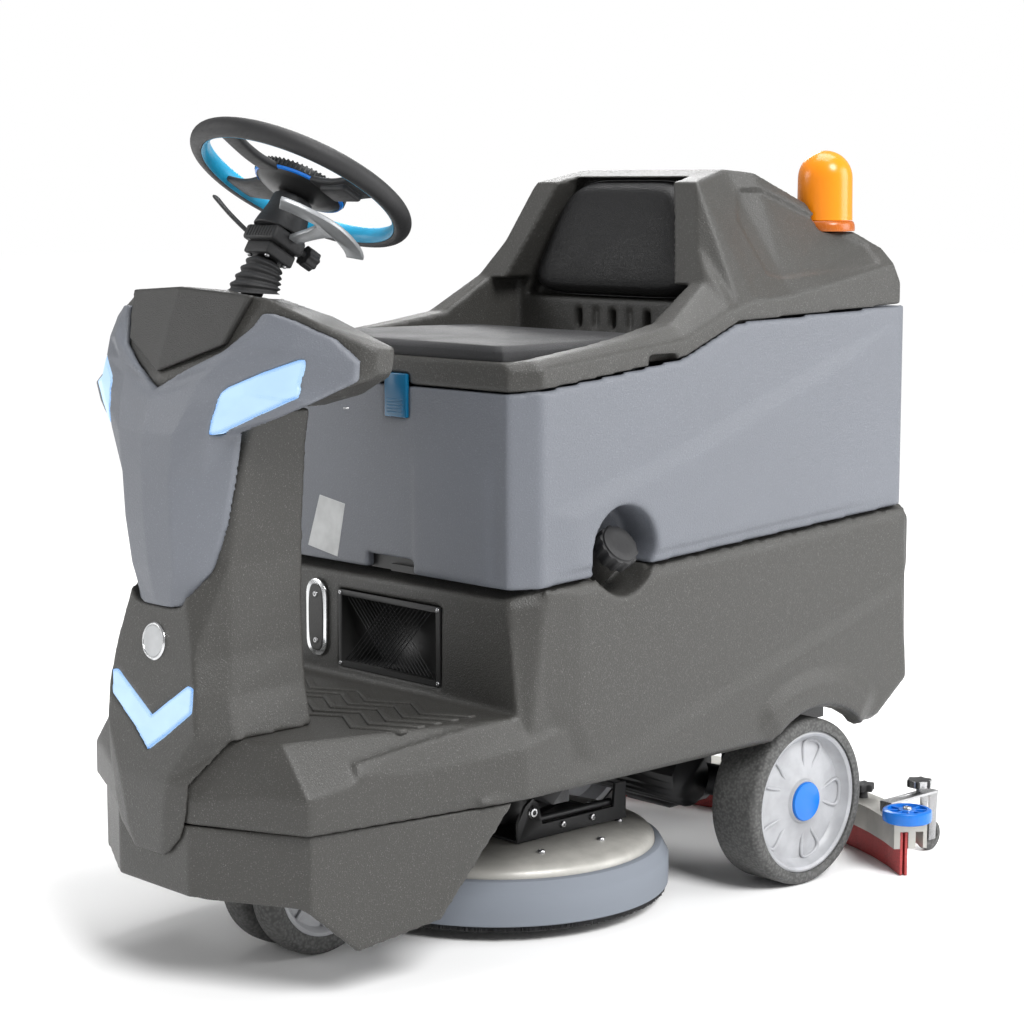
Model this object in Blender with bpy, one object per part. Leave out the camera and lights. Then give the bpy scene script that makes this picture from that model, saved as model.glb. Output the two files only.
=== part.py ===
"""Ride-on floor scrubber with a single disc brush, built as separate pieces.

Metres, +Z up.  The machine drives towards -Y and its left side is +X.  The
origin is on the floor, under the middle of the machine's bounding box.
Every piece is one object; each moving group hangs from an empty on its joint.
"""

import math

import bmesh
import bpy
from mathutils import Matrix, Vector

# ---------------------------------------------------------------- driving sizes
WHEELBASE = 0.744
NOSE_OVERHANG = 0.262        # front axle to the tip of the nose
TAIL_OVERHANG = 0.316        # rear axle to the rearmost point of the squeegee casters
BODY_WIDTH = 0.570
CLEARANCE = 0.0004           # running gap between pieces that touch
WALL = 0.008                 # rotomoulded shell thickness
DECK_THICKNESS = 0.020
SIDES = 32                   # facets of a round piece

REAR_WHEEL_RADIUS = 0.127
REAR_TYRE_WIDTH = 0.087
REAR_RIM_RADIUS = 0.108
ARCH_CLEARANCE = 0.018
FRONT_WHEEL_RADIUS = 0.105
FRONT_WHEEL_WIDTH = 0.0435
TWIN_GAP = 0.025             # space between the two front wheels
FORK_STEM_RADIUS = 0.020

FLOORPAN_Z = 0.232           # underside of the lower body
CREASE_Z = 0.280             # edge that runs round the foot platform
DECK_Z = 0.345               # surface that the feet rest on
SEAT_PAN_Z = 0.8155
PAD_THICKNESS = 0.021

BRUSH_RADIUS = 0.250
BRUSH_FORE = 0.372           # brush centre behind the front axle
BRISTLE_TIP_Z = 0.015        # raised for driving
BRISTLE_LENGTH = 0.030

STEERING_RADIUS = 0.159
RIM_TUBE = 0.0135
COLUMN_RAKE = math.radians(30.3)
COLUMN_FOOT = (-0.069, 0.912)   # where the column leaves the dash: behind the front axle, height
COLUMN_LENGTH = 0.1587          # from there to the wheel's plane
TILT_DEPTH = 0.075              # tilt pivot below the column foot

SQUEEGEE_HALF_SPAN = 0.352
SQUEEGEE_RADIUS = 0.620
BLADE_CROWN = 0.247          # blade's rearmost point behind the rear axle
ROLLER_RADIUS = 0.038
CASTER_RADIUS = 0.024

LENGTH = NOSE_OVERHANG + WHEELBASE + TAIL_OVERHANG
FRONT_AXLE_Y = NOSE_OVERHANG - LENGTH / 2
REAR_AXLE_Y = FRONT_AXLE_Y + WHEELBASE
HALF = BODY_WIDTH / 2


def fore(distance):
    """Y of a place measured back from the front axle."""
    return FRONT_AXLE_Y + distance


def aft(distance):
    """Y of a place measured back from the rear axle."""
    return REAR_AXLE_Y + distance


# ---------------------------------------------------------------- finishes
def finish(name, colour, roughness, metallic=0.0, glow=0.0):
    """Principled material with the piece's colour."""
    material = bpy.data.materials.new(name)
    material.use_nodes = True
    shader = material.node_tree.nodes["Principled BSDF"]
    shader.inputs["Base Color"].default_value = (*colour, 1.0)
    shader.inputs["Roughness"].default_value = roughness
    shader.inputs["Metallic"].default_value = metallic
    if glow:
        shader.inputs["Emission Color"].default_value = (*colour, 1.0)
        shader.inputs["Emission Strength"].default_value = glow
    return material


# ---------------------------------------------------------------- mesh tools
def solid(bm):
    """Weld a closed mesh and turn its faces outwards."""
    bmesh.ops.remove_doubles(bm, verts=bm.verts, dist=1e-6)
    bmesh.ops.recalc_face_normals(bm, faces=bm.faces)
    return bm


def loft(sections):
    """Closed solid through loops of equally many points."""
    bm = bmesh.new()
    rings = [[bm.verts.new(point) for point in section] for section in sections]
    for lower, upper in zip(rings, rings[1:]):
        for i in range(len(lower)):
            j = (i + 1) % len(lower)
            bm.faces.new((lower[i], lower[j], upper[j], upper[i]))
    bm.faces.new(rings[0])
    bm.faces.new(rings[-1])
    return solid(bm)


def mirrored(half_points):
    """Loop made of points with x >= 0 and their mirror images."""
    return list(half_points) + [(-x, y, z) for x, y, z in reversed(half_points)]


def box(low, high):
    """Block between two corners."""
    (x0, y0, z0), (x1, y1, z1) = low, high
    corners = ((x0, y0), (x1, y0), (x1, y1), (x0, y1))
    return loft([[(x, y, z0) for x, y in corners], [(x, y, z1) for x, y in corners]])


def prism(outline, axis, low, high):
    """Outline in the plane across an axis, extruded along it."""
    place = {
        "X": lambda a, b, c: (c, a, b),
        "Y": lambda a, b, c: (a, c, b),
        "Z": lambda a, b, c: (a, b, c),
    }[axis]
    return loft([[place(a, b, c) for a, b in outline] for c in (low, high)])


def turned(profile, axis="Z", centre=(0.0, 0.0, 0.0), steps=SIDES):
    """Profile of (radius, height) points turned about an axis through a centre."""
    place = {
        "X": lambda a, b, h: (h, b, -a),
        "Y": lambda a, b, h: (b, h, -a),
        "Z": lambda a, b, h: (a, b, h),
    }[axis]
    bm = bmesh.new()
    rings = []
    for radius, height in profile:
        count = 1 if radius < 1e-9 else steps
        ring = []
        for k in range(count):
            angle = math.tau * k / steps
            point = Vector(place(radius * math.cos(angle), radius * math.sin(angle), height))
            ring.append(bm.verts.new(point + Vector(centre)))
        rings.append(ring)
    pairs = list(zip(rings, rings[1:]))
    if len(rings[0]) > 1 and len(rings[-1]) > 1:
        pairs.append((rings[-1], rings[0]))
    for lower, upper in pairs:
        for k in range(steps):
            j = (k + 1) % steps
            corners = [lower[k % len(lower)], lower[j % len(lower)], upper[j % len(upper)], upper[k % len(upper)]]
            face = list(dict.fromkeys(corners))
            if len(face) > 2:
                bm.faces.new(face)
    return solid(bm)


def disc(radius, low, high, axis="Z", centre=(0.0, 0.0, 0.0), steps=SIDES, bore=0.0):
    """Plain cylinder, with a bore when one is given."""
    return turned([(bore, low), (radius, low), (radius, high), (bore, high)], axis, centre, steps)


def slab(points, faces, offset):
    """Surface given a thickness by moving a copy of it."""
    bm = bmesh.new()
    front = [bm.verts.new(point) for point in points]
    back = [bm.verts.new(Vector(point) + Vector(offset)) for point in points]
    edges = {}
    for face in faces:
        bm.faces.new([front[i] for i in face])
        bm.faces.new([back[i] for i in reversed(face)])
        for a, b in zip(face, face[1:] + face[:1]):
            key = (min(a, b), max(a, b))
            edges[key] = edges.get(key, 0) + 1
    for (a, b), uses in edges.items():
        if uses == 1:
            bm.faces.new((front[a], front[b], back[b], back[a]))
    return solid(bm)


def moved(bm, matrix):
    """Solid carried to another place."""
    bmesh.ops.transform(bm, matrix=matrix, verts=bm.verts)
    return bm


def combined(base, tool, operation):
    """Boolean of two closed solids; both are used up."""
    objects = []
    for label, bm in (("base", base), ("tool", tool)):
        mesh = bpy.data.meshes.new(label)
        bm.to_mesh(mesh)
        bm.free()
        holder = bpy.data.objects.new(label, mesh)
        bpy.context.scene.collection.objects.link(holder)
        objects.append(holder)
    modifier = objects[0].modifiers.new("cut", "BOOLEAN")
    modifier.operation = operation
    modifier.solver = "MANIFOLD"
    modifier.object = objects[1]
    graph = bpy.context.evaluated_depsgraph_get()
    result = bmesh.new()
    result.from_mesh(objects[0].evaluated_get(graph).to_mesh())
    for holder in objects:
        mesh = holder.data
        bpy.data.objects.remove(holder)
        bpy.data.meshes.remove(mesh)
    bmesh.ops.remove_doubles(result, verts=result.verts, dist=1e-6)
    bmesh.ops.dissolve_degenerate(result, edges=result.edges, dist=1e-6)
    return result


def cut(base, *tools):
    """Base with each tool taken away."""
    for tool in tools:
        base = combined(base, tool, "DIFFERENCE")
    return base


def joined(base, *others):
    """Base with each other solid added."""
    for other in others:
        base = combined(base, other, "UNION")
    return base


def common(base, tool):
    """What two solids share."""
    return combined(base, tool, "INTERSECT")


def eased(bm, width, segments=1, angle=math.radians(40)):
    """Break the edges of a plain solid."""
    sharp = [edge for edge in bm.edges if edge.calc_face_angle(0.0) > angle]
    bmesh.ops.bevel(bm, geom=sharp, offset=width, segments=segments, affect="EDGES",
                    profile=0.5, clamp_overlap=True)
    return solid(bm)


def group(name, location, parent=None):
    """Empty on a joint's axis, which carries the pieces that move together."""
    empty = bpy.data.objects.new(name, None)
    bpy.context.scene.collection.objects.link(empty)
    empty.parent = parent
    origin = Vector(parent["place"]) if parent else Vector()
    empty["place"] = tuple(location)
    empty.location = Vector(location) - origin
    return empty


def publish(name, bm, material, carrier):
    """Turn a finished solid, given in world places, into a named piece."""
    moved(bm, Matrix.Translation(-Vector(carrier["place"])))
    mesh = bpy.data.meshes.new(name)
    bm.to_mesh(mesh)
    bm.free()
    mesh.materials.append(material)
    mesh.shade_smooth()
    mesh.set_sharp_from_angle(angle=math.radians(30))
    piece = bpy.data.objects.new(name, mesh)
    bpy.context.scene.collection.objects.link(piece)
    piece.parent = carrier
    return piece


# ---------------------------------------------------------------- shared outlines
def waistline(y):
    """Height of the seam between the lower body and the recovery tank."""
    share = (y - fore(0.150)) / (aft(0.224) - fore(0.150))
    return 0.511 + share * 0.049


SHOULDER = ((0.150, 0.775), (0.370, 0.799), (0.462, 0.810))
SHOULDER_REAR = ((-0.170, 0.855), (0.197, 0.868), (0.240, 0.868))


def shoulder_line(y):
    """Height of the seam between the recovery tank and the seat housing."""
    knots = [(fore(d), z) for d, z in SHOULDER] + [(aft(d), z) for d, z in SHOULDER_REAR]
    if y <= knots[0][0]:
        return knots[0][1]
    for (y0, z0), (y1, z1) in zip(knots, knots[1:]):
        if y <= y1:
            return z0 + (z1 - z0) * (y - y0) / (y1 - y0)
    return knots[-1][1]


FILLER_FORE = 0.341          # centre of the filler pocket behind the front axle
FILLER_Z = 0.552
POCKET_RADIUS = 0.062
POCKET_DEPTH = 0.060
CAP_RADIUS = 0.032
CAP_LENGTH = 0.030
CAP_TILT = math.radians(38)


def filler_pocket(extra=0.0):
    """Round recess in the left side where the filler cap sits."""
    inner = HALF - POCKET_DEPTH - extra
    centre = (0.0, fore(FILLER_FORE), FILLER_Z)
    return disc(POCKET_RADIUS + extra, inner, HALF + 0.05, "X", centre, 24)


def filler_frame():
    """Matrix that stands a piece on the filler neck, its Z along the cap's axis."""
    place = Matrix.Translation((HALF - 0.030, fore(FILLER_FORE), FILLER_Z - 0.010))
    return place @ Matrix.Rotation(math.radians(90) - CAP_TILT, 4, "Y")


# ---------------------------------------------------------------- chassis
RAIL_OUTER = 0.170
RAIL_INNER = 0.134
RAIL_LOW = 0.2150
RAIL_HIGH = 0.2450
FRAME_FRONT = -0.120
FRAME_REAR = 0.170
AXLE_TUBE_RADIUS = 0.024
HANGER_HALF = 0.030
ACTUATOR_BACK = 0.125        # lift actuator behind the brush centre
ACTUATOR_RADIUS = 0.018
ROD_RADIUS = 0.007
ARM_PIVOT_AFT = 0.110
ARM_PIVOT_Z = 0.180
ARM_PIN_RADIUS = 0.006


def chassis_frame():
    """Welded ladder frame with axle hangers and the squeegee's pivot lugs."""
    ladder = box((-RAIL_OUTER, fore(FRAME_FRONT), RAIL_LOW), (RAIL_OUTER, aft(FRAME_REAR), RAIL_HIGH))
    bays = (
        (fore(0.060), fore(BRUSH_FORE + ACTUATOR_BACK - 0.030)),
        (fore(BRUSH_FORE + ACTUATOR_BACK + 0.030), aft(0.080)),
    )
    for low, high in bays:
        ladder = cut(ladder, box((-RAIL_INNER, low, 0.1), (RAIL_INNER, high, 0.4)))
    ladder = cut(
        ladder,
        disc(FORK_STEM_RADIUS + CLEARANCE, 0.1, 0.4, centre=(0, FRONT_AXLE_Y, 0)),
        disc(SHAFT_RADIUS + CLEARANCE, 0.1, 0.4, centre=(0, tilt_pivot().y, 0), steps=16),
        disc(ACTUATOR_RADIUS + CLEARANCE, 0.1, 0.4,
             centre=(0, fore(BRUSH_FORE + ACTUATOR_BACK), 0), steps=16),
    )
    parts = []
    for side in (-1, 1):
        xs = sorted((side * RAIL_INNER, side * (RAIL_INNER + 0.008)))
        parts.append(box((xs[0], aft(-HANGER_HALF), REAR_WHEEL_RADIUS - HANGER_HALF - 0.006),
                         (xs[1], aft(HANGER_HALF), RAIL_LOW + 0.004)))
        xs = sorted((side * 0.040, side * 0.048))
        parts.append(box((xs[0], aft(ARM_PIVOT_AFT - 0.016), ARM_PIVOT_Z - 0.016),
                         (xs[1], aft(ARM_PIVOT_AFT + 0.016), RAIL_LOW + 0.004)))
        xs = sorted((side * (RAIL_OUTER - 0.002), side * (HALF - WALL - CLEARANCE)))
        parts.append(box((xs[0], fore(0.215), RAIL_LOW), (xs[1], fore(0.245), RAIL_HIGH)))
        xs = sorted((side * RAIL_INNER, side * RAIL_OUTER))
        parts.append(box((xs[0], fore(0.090), RAIL_HIGH - 0.004),
                         (xs[1], fore(0.120), DECK_Z - DECK_THICKNESS - CLEARANCE)))
    frame = joined(ladder, *parts)
    return cut(
        frame,
        disc(AXLE_TUBE_RADIUS + CLEARANCE, -0.2, 0.2, "X", (0, REAR_AXLE_Y, REAR_WHEEL_RADIUS), 24),
        disc(ARM_PIN_RADIUS + CLEARANCE, -0.06, 0.06, "X", (0, aft(ARM_PIVOT_AFT), ARM_PIVOT_Z), 16),
    )


def platform_section(y, half, crease_z, top_half, top_z):
    """Half-section of the platform or the lower body, bottom edge first."""
    return mirrored([(half, y, FLOORPAN_Z), (half, y, crease_z), (top_half, y, top_z)])


def lower_body():
    """Solution tank shell: foot platform, seat plinth and rear wheel arches."""
    outer = loft([
        platform_section(fore(-0.248), 0.080, 0.262, 0.072, CREASE_Z),
        platform_section(fore(-0.205), HALF - 0.111, CREASE_Z, 0.115, DECK_Z),
        platform_section(fore(-0.176), HALF - 0.048, CREASE_Z, HALF - 0.100, DECK_Z),
        platform_section(fore(0.150), HALF, 0.305, HALF - 0.012, DECK_Z),
        mirrored([(HALF, fore(0.1515), FLOORPAN_Z), (HALF - 0.030, fore(0.1515), 0.487),
                  (HALF - 0.036, fore(0.1515), 0.4975)]),
        mirrored([(HALF, fore(0.190), FLOORPAN_Z), (HALF, fore(0.190), 0.494),
                  (HALF - 0.014, fore(0.190), waistline(fore(0.190)))]),
        mirrored([(HALF, aft(0.224), FLOORPAN_Z), (HALF, aft(0.224), 0.541),
                  (HALF - 0.014, aft(0.224), waistline(aft(0.224)))]),
        mirrored([(HALF - 0.012, aft(0.239), FLOORPAN_Z), (HALF - 0.012, aft(0.239), 0.533),
                  (HALF - 0.022, aft(0.239), 0.548)]),
    ])
    tail = [(aft(0.260), 0.62), (aft(0.232), 0.545), (aft(0.239), 0.480), (aft(0.210), 0.429),
            (aft(0.228), 0.286), (aft(0.152), FLOORPAN_Z + 0.004), (aft(0.140), 0.20),
            (aft(0.300), 0.20), (aft(0.300), 0.62)]
    outer = cut(outer, prism(tail, "X", -HALF - 0.05, HALF + 0.05))

    def inner(y, half, crease_z, top_half, top_z):
        return mirrored([(half, y, 0.20), (half, y, crease_z), (top_half, y, top_z)])

    deck = DECK_Z - DECK_THICKNESS
    cavity = loft([
        inner(fore(-0.192), 0.160, CREASE_Z - 0.010, 0.100, deck),
        inner(fore(-0.166), HALF - 0.060, CREASE_Z - 0.006, HALF - 0.116, deck),
        inner(fore(0.145), HALF - WALL - 0.001, 0.300, HALF - 0.024, deck),
        inner(fore(0.1595), HALF - WALL, 0.300, HALF - WALL - 0.002, deck),
        inner(fore(0.160), HALF - 0.042, 0.440, HALF - 0.050, 0.470),
        inner(fore(0.195), HALF - WALL, 0.460, HALF - WALL - 0.012, 0.474),
        inner(aft(0.130), HALF - WALL, 0.506, HALF - WALL - 0.012, 0.520),
        inner(aft(0.195), HALF - WALL - 0.004, 0.510, HALF - WALL - 0.016, 0.524),
    ])
    cavity = cut(cavity, filler_pocket(WALL))
    body = cut(outer, cavity, filler_pocket())
    arch = REAR_WHEEL_RADIUS + ARCH_CLEARANCE
    for side in (-1, 1):
        low, high = sorted((side * (HALF - 0.1), side * (HALF + 0.05)))
        body = cut(body, disc(arch, low, high, "X", (0, REAR_AXLE_Y, REAR_WHEEL_RADIUS), 32))
    body = cut(
        body,
        box((-0.100, fore(0.130), 0.362), (0.120, fore(0.200), 0.474)),
        disc(0.014, 0.30, 0.36, centre=(0, tilt_pivot().y, 0), steps=16),
    )
    neck = moved(disc(CAP_RADIUS - 0.008, -0.052, 0.004, steps=16), filler_frame())
    neck = cut(neck, box((0.0, fore(0.250), 0.5195), (HALF - POCKET_DEPTH + 0.0006, fore(0.450), 0.62)))
    return joined(body, neck)


def front_bumper():
    """Apron under the platform, with a flap on each side of the front wheels."""
    top = FLOORPAN_Z - CLEARANCE
    thick = 0.006
    rear = fore(0.136)

    def plan(inset):
        return [(-(HALF - 0.004 - inset), rear), (-(0.228 - inset), fore(-0.166 + inset * 0.5)),
                (-(0.078 - inset * 0.5), fore(-0.2475 + inset)), (0.078 - inset * 0.5, fore(-0.2475 + inset)),
                (0.228 - inset, fore(-0.166 + inset * 0.5)), (HALF - 0.004 - inset, rear)]

    hollow = plan(thick)
    hollow[0] = (hollow[0][0], rear + 0.02)
    hollow[-1] = (hollow[-1][0], rear + 0.02)
    apron = cut(prism(plan(0.0), "Z", 0.04, top), prism(hollow, "Z", 0.03, top + 0.01))
    under = [(fore(-0.30), 0.02), (fore(-0.30), 0.136), (fore(-0.172), 0.134), (fore(-0.098), 0.068),
             (fore(0.026), 0.090), (fore(0.136), top - 0.002), (fore(0.20), top - 0.002), (fore(0.20), 0.02)]
    return cut(apron, prism(under, "X", -HALF - 0.05, HALF + 0.05))


# ---------------------------------------------------------------- front column, shield and dash
SHIELD_THICKNESS = 0.011
SHIELD_ROWS = (
    # inner edge, front crease, cheek, outer edge: (x, distance behind the front axle, z)
    ((0.000, -0.236, 0.508), (0.030, -0.234, 0.508), (0.045, -0.228, 0.510), (0.052, -0.222, 0.514)),
    ((0.000, -0.246, 0.560), (0.046, -0.240, 0.560), (0.066, -0.224, 0.557), (0.080, -0.208, 0.555)),
    ((0.000, -0.252, 0.620), (0.050, -0.246, 0.620), (0.080, -0.222, 0.620), (0.102, -0.201, 0.620)),
    ((0.000, -0.254, 0.680), (0.052, -0.248, 0.680), (0.086, -0.222, 0.680), (0.116, -0.198, 0.680)),
    ((0.000, -0.252, 0.735), (0.060, -0.247, 0.735), (0.105, -0.228, 0.735), (0.128, -0.197, 0.737)),
    ((0.000, -0.241, 0.775), (0.075, -0.234, 0.772), (0.135, -0.216, 0.765), (0.190, -0.188, 0.760)),
    ((0.000, -0.233, 0.788), (0.080, -0.222, 0.800), (0.160, -0.205, 0.790), (0.232, -0.166, 0.780)),
    ((0.055, -0.224, 0.815), (0.105, -0.211, 0.822), (0.175, -0.186, 0.820), (0.262, -0.118, 0.806)),
    ((0.107, -0.203, 0.840), (0.140, -0.196, 0.848), (0.195, -0.166, 0.845), (0.264, -0.114, 0.830)),
    ((0.138, -0.178, 0.872), (0.160, -0.172, 0.872), (0.200, -0.152, 0.866), (0.235, -0.128, 0.858)),
    ((0.147, -0.170, 0.888), (0.160, -0.166, 0.888), (0.185, -0.154, 0.880), (0.205, -0.146, 0.872)),
)
HEADLIGHT_OUTLINE = ((0.107, 0.736), (0.120, 0.738), (0.216, 0.786), (0.209, 0.800), (0.213, 0.831),
                     (0.206, 0.833), (0.128, 0.797), (0.120, 0.790))
CHEVRON_OUTLINE = ((0.000, 0.364), (0.078, 0.414), (0.090, 0.412), (0.088, 0.380), (0.000, 0.320))


def shield_surface(margin=0.0, shift=0.0):
    """Points and faces of the shield's front, grown at its outline by a margin."""
    points = []
    index = {}
    last = len(SHIELD_ROWS) - 1
    for side in (-1, 1):
        for r, row in enumerate(SHIELD_ROWS):
            rise = margin * ((r == last) - (r == 0))
            for c, (x, back, z) in enumerate(row):
                grow = margin * ((c == 3) - (c == 0 and x > 0))
                other = row[2] if c == 3 else row[1]
                back += grow * (back - other[1]) / (x - other[0]) if grow else 0.0
                if x == 0.0 and side == 1 and (-1, r, c) in index:
                    index[(1, r, c)] = index[(-1, r, c)]
                    continue
                index[(side, r, c)] = len(points)
                points.append((side * (x + grow), fore(back) + shift, z + rise))
    faces = []
    for side in (-1, 1):
        for r in range(last):
            for c in range(3):
                quad = [index[(side, r, c)], index[(side, r, c + 1)],
                        index[(side, r + 1, c + 1)], index[(side, r + 1, c)]]
                halves = ([quad[0], quad[1], quad[2]], [quad[0], quad[2], quad[3]])
                faces += [half if side == 1 else half[::-1] for half in halves]
    return points, faces


def shield_blank():
    """Front shield before the headlights are let in."""
    points, faces = shield_surface()
    return slab(points, faces, (0, SHIELD_THICKNESS, 0))


def shield_recess():
    """Room that the column and the dash leave for the shield."""
    points, faces = shield_surface(CLEARANCE, -0.05)
    return slab(points, faces, (0, 0.05 + SHIELD_THICKNESS + 2 * CLEARANCE, 0))


def grown(outline, margin):
    """Outline moved outwards, away from its middle."""
    cx = sum(a for a, _ in outline) / len(outline)
    cz = sum(b for _, b in outline) / len(outline)
    reach = max(math.hypot(a - cx, b - cz) for a, b in outline)
    factor = 1 + margin * 2.5 / reach
    return [(cx + (a - cx) * factor, cz + (b - cz) * factor) for a, b in outline]


def headlight_prism(side, margin=0.0):
    """Headlight outline pushed through the shield."""
    outline = grown(HEADLIGHT_OUTLINE, margin)
    return prism([(side * x, z) for x, z in outline], "Y", fore(-0.30), fore(-0.10))


def chevron_prism(margin=0.0):
    """Chevron outline pushed into the face of the column."""
    lower = [(x, z) for x, z in CHEVRON_OUTLINE]
    loop = lower[:1] + lower[1:4] + lower[4:] + [(-x, z) for x, z in reversed(lower[1:4])]
    if margin:
        loop = [(0, loop[0][1] + margin * 1.6)] + [(x + math.copysign(margin * 1.2, x), z) for x, z in loop[1:4]] \
            + [(0, loop[4][1] - margin * 1.6)] + [(x + math.copysign(margin * 1.2, x), z) for x, z in loop[5:]]
        loop[1] = (loop[1][0] - margin, loop[1][1] + margin * 1.4)
        loop[-1] = (loop[-1][0] + margin, loop[-1][1] + margin * 1.4)
        loop[3] = (loop[3][0], loop[3][1] - margin)
        loop[5] = (loop[5][0], loop[5][1] - margin)
    return prism(loop, "Y", fore(-0.30), fore(-0.2395 - (0.0 if margin else CLEARANCE)))


COLUMN_TOP = 0.7645


def column_section(z, front, middle, rear):
    """Six-sided section of the column at a height."""
    return mirrored([(half, fore(back), z) for half, back in (front, middle, rear)])


def column_blank():
    """Column with the nose that laps over the platform's front edge."""
    shaft = loft([
        column_section(DECK_Z + CLEARANCE, (0.100, -0.246), (0.132, -0.205), (0.124, -0.078)),
        column_section(0.400, (0.095, -0.2455), (0.114, -0.203), (0.110, -0.076)),
        column_section(0.450, (0.085, -0.240), (0.107, -0.196), (0.106, -0.077)),
        column_section(0.570, (0.045, -0.227), (0.100, -0.190), (0.110, -0.080)),
        column_section(0.700, (0.040, -0.224), (0.122, -0.180), (0.124, -0.084)),
        column_section(COLUMN_TOP, (0.050, -0.214), (0.138, -0.172), (0.138, -0.086)),
    ])
    nose = loft([
        column_section(0.183, (0.030, -0.2555), (0.036, -0.2515), (0.034, -0.2490)),
        column_section(0.212, (0.040, -0.2590), (0.068, -0.2515), (0.066, -0.2490)),
        column_section(0.240, (0.042, -0.2610), (0.080, -0.2515), (0.078, -0.2490)),
        column_section(CREASE_Z + 0.006, (0.054, -NOSE_OVERHANG), (0.087, -0.2515), (0.085, -0.2486)),
        column_section(DECK_Z + 0.0008, (0.098, -0.2480), (0.128, -0.2085), (0.124, -0.2066)),
        column_section(0.390, (0.095, -0.2465), (0.112, -0.2050), (0.108, -0.2000)),
    ])
    hollow = loft([
        column_section(0.30, (0.078, -0.195), (0.100, -0.186), (0.108, -0.090)),
        column_section(0.450, (0.070, -0.195), (0.094, -0.182), (0.096, -0.088)),
        column_section(0.570, (0.035, -0.195), (0.088, -0.176), (0.100, -0.090)),
        column_section(0.80, (0.040, -0.190), (0.120, -0.162), (0.124, -0.096)),
    ])
    return joined(cut(shaft, hollow), nose)


def dash_section(x, points):
    """Section of the dash across the machine at a distance from its middle."""
    return [(x, fore(back), z) for back, z in points]


def dash_blank():
    """Dash housing that spreads to both sides over the column."""
    stations = (
        (0.272, ((-0.085, 0.815), (-0.090, 0.825), (-0.086, 0.845), (-0.058, 0.842), (-0.062, 0.816))),
        (0.262, ((-0.100, 0.805), (-0.104, 0.820), (-0.098, 0.852), (-0.050, 0.846), (-0.060, 0.808))),
        (0.215, ((-0.160, 0.780), (-0.162, 0.800), (-0.133, 0.878), (-0.048, 0.858), (-0.062, 0.785))),
        (0.138, ((-0.196, 0.7650), (-0.203, 0.800), (-0.158, 0.908), (-0.047, 0.880), (-0.060, 0.7665))),
        (0.000, ((-0.218, 0.7650), (-0.226, 0.800), (-0.185, 0.9185), (-0.045, 0.905), (-0.055, 0.7665))),
    )
    sections = [dash_section(-x, points) for x, points in stations]
    sections += [dash_section(x, points) for x, points in reversed(stations[:-1])]
    outer = loft(sections)
    rooms = (
        (0.205, ((-0.148, 0.792), (-0.126, 0.866), (-0.056, 0.850), (-0.066, 0.794))),
        (0.130, ((-0.188, 0.786), (-0.150, 0.898), (-0.056, 0.872), (-0.066, 0.786))),
        (0.000, ((-0.208, 0.786), (-0.176, 0.908), (-0.054, 0.895), (-0.064, 0.786))),
    )
    inside = [dash_section(-x, points) for x, points in rooms]
    inside += [dash_section(x, points) for x, points in reversed(rooms[:-1])]
    return cut(
        outer,
        loft(inside),
        box((-0.085, fore(-0.165), 0.70), (0.085, fore(-0.084), 0.80)),
        disc(BOOT_RADIUS + 0.002, 0.86, 0.95, centre=(0, fore(COLUMN_FOOT[0]), 0), steps=24),
    )


TRIM_OUTLINE = ((0.000, 0.811), (0.102, 0.848), (0.127, 0.910), (0.000, 0.918))


def dash_face(x, z):
    """Y of the dash's sloping front face."""
    return fore(-0.226) + (z - 0.800) * 0.346 + abs(x) * 0.1667


def trim_solid(margin, front, back):
    """Trim outline between two depths from the dash's face."""
    loop = list(TRIM_OUTLINE) + [(-x, z) for x, z in reversed(TRIM_OUTLINE[1:3])]
    loop = [(x + math.copysign(margin, x) if x else 0.0, z + math.copysign(margin, z - 0.868)) for x, z in loop]
    points = [(x, dash_face(x, z) + front, z) for x, z in loop]
    return slab(points, ([0, 1, 2, 3], [0, 3, 4, 5]), (0, back - front, 0))


def dash_trim():
    """Fixed hexagonal trim let into the front of the dash."""
    return trim_solid(0.0, -0.006, 0.004)


# ---------------------------------------------------------------- steering column
SHAFT_RADIUS = 0.009
TUBE_RADIUS = 0.014
BOOT_RADIUS = 0.034
PIVOT_PIN_RADIUS = 0.004
YOKE_INNER = 0.0190
YOKE_OUTER = 0.0250
SPROCKET_Z = 0.2550
SPROCKET_HEIGHT = 0.006
SMALL_SPROCKET = 0.016
LARGE_SPROCKET = 0.048


def column_axis():
    """Unit vector up the steering column."""
    return Vector((0, math.sin(COLUMN_RAKE), math.cos(COLUMN_RAKE)))


def column_foot():
    """Where the column leaves the dash."""
    return Vector((0, fore(COLUMN_FOOT[0]), COLUMN_FOOT[1]))


def tilt_pivot():
    """Point on the column's axis about which it tilts."""
    return column_foot() - column_axis() * TILT_DEPTH


def on_column(bm):
    """Carry a solid modelled along Z from the column foot onto the column."""
    return moved(bm, Matrix.Translation(column_foot()) @ Matrix.Rotation(-COLUMN_RAKE, 4, "X"))


def tilt_bracket():
    """Bracket on the dash floor that holds the column's tilt pins."""
    pivot = tilt_pivot()
    floor = 0.7862
    plate = cut(box((-0.100, fore(-0.176), floor), (0.100, fore(-0.080), floor + 0.004)),
                disc(0.018, 0.7, 0.9, centre=(0, pivot.y, 0), steps=16))
    cheeks = []
    for side in (-1, 1):
        low, high = sorted((side * (YOKE_OUTER + 0.002), side * (YOKE_OUTER + 0.006)))
        cheeks.append(box((low, pivot.y - 0.014, floor + 0.002), (high, pivot.y + 0.014, pivot.z + 0.012)))
        low, high = sorted((side * (YOKE_INNER + 0.001), side * (YOKE_OUTER + 0.004)))
        cheeks.append(disc(PIVOT_PIN_RADIUS, low, high, "X", (0, pivot.y, pivot.z), 12))
    return joined(plate, *cheeks)


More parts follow.
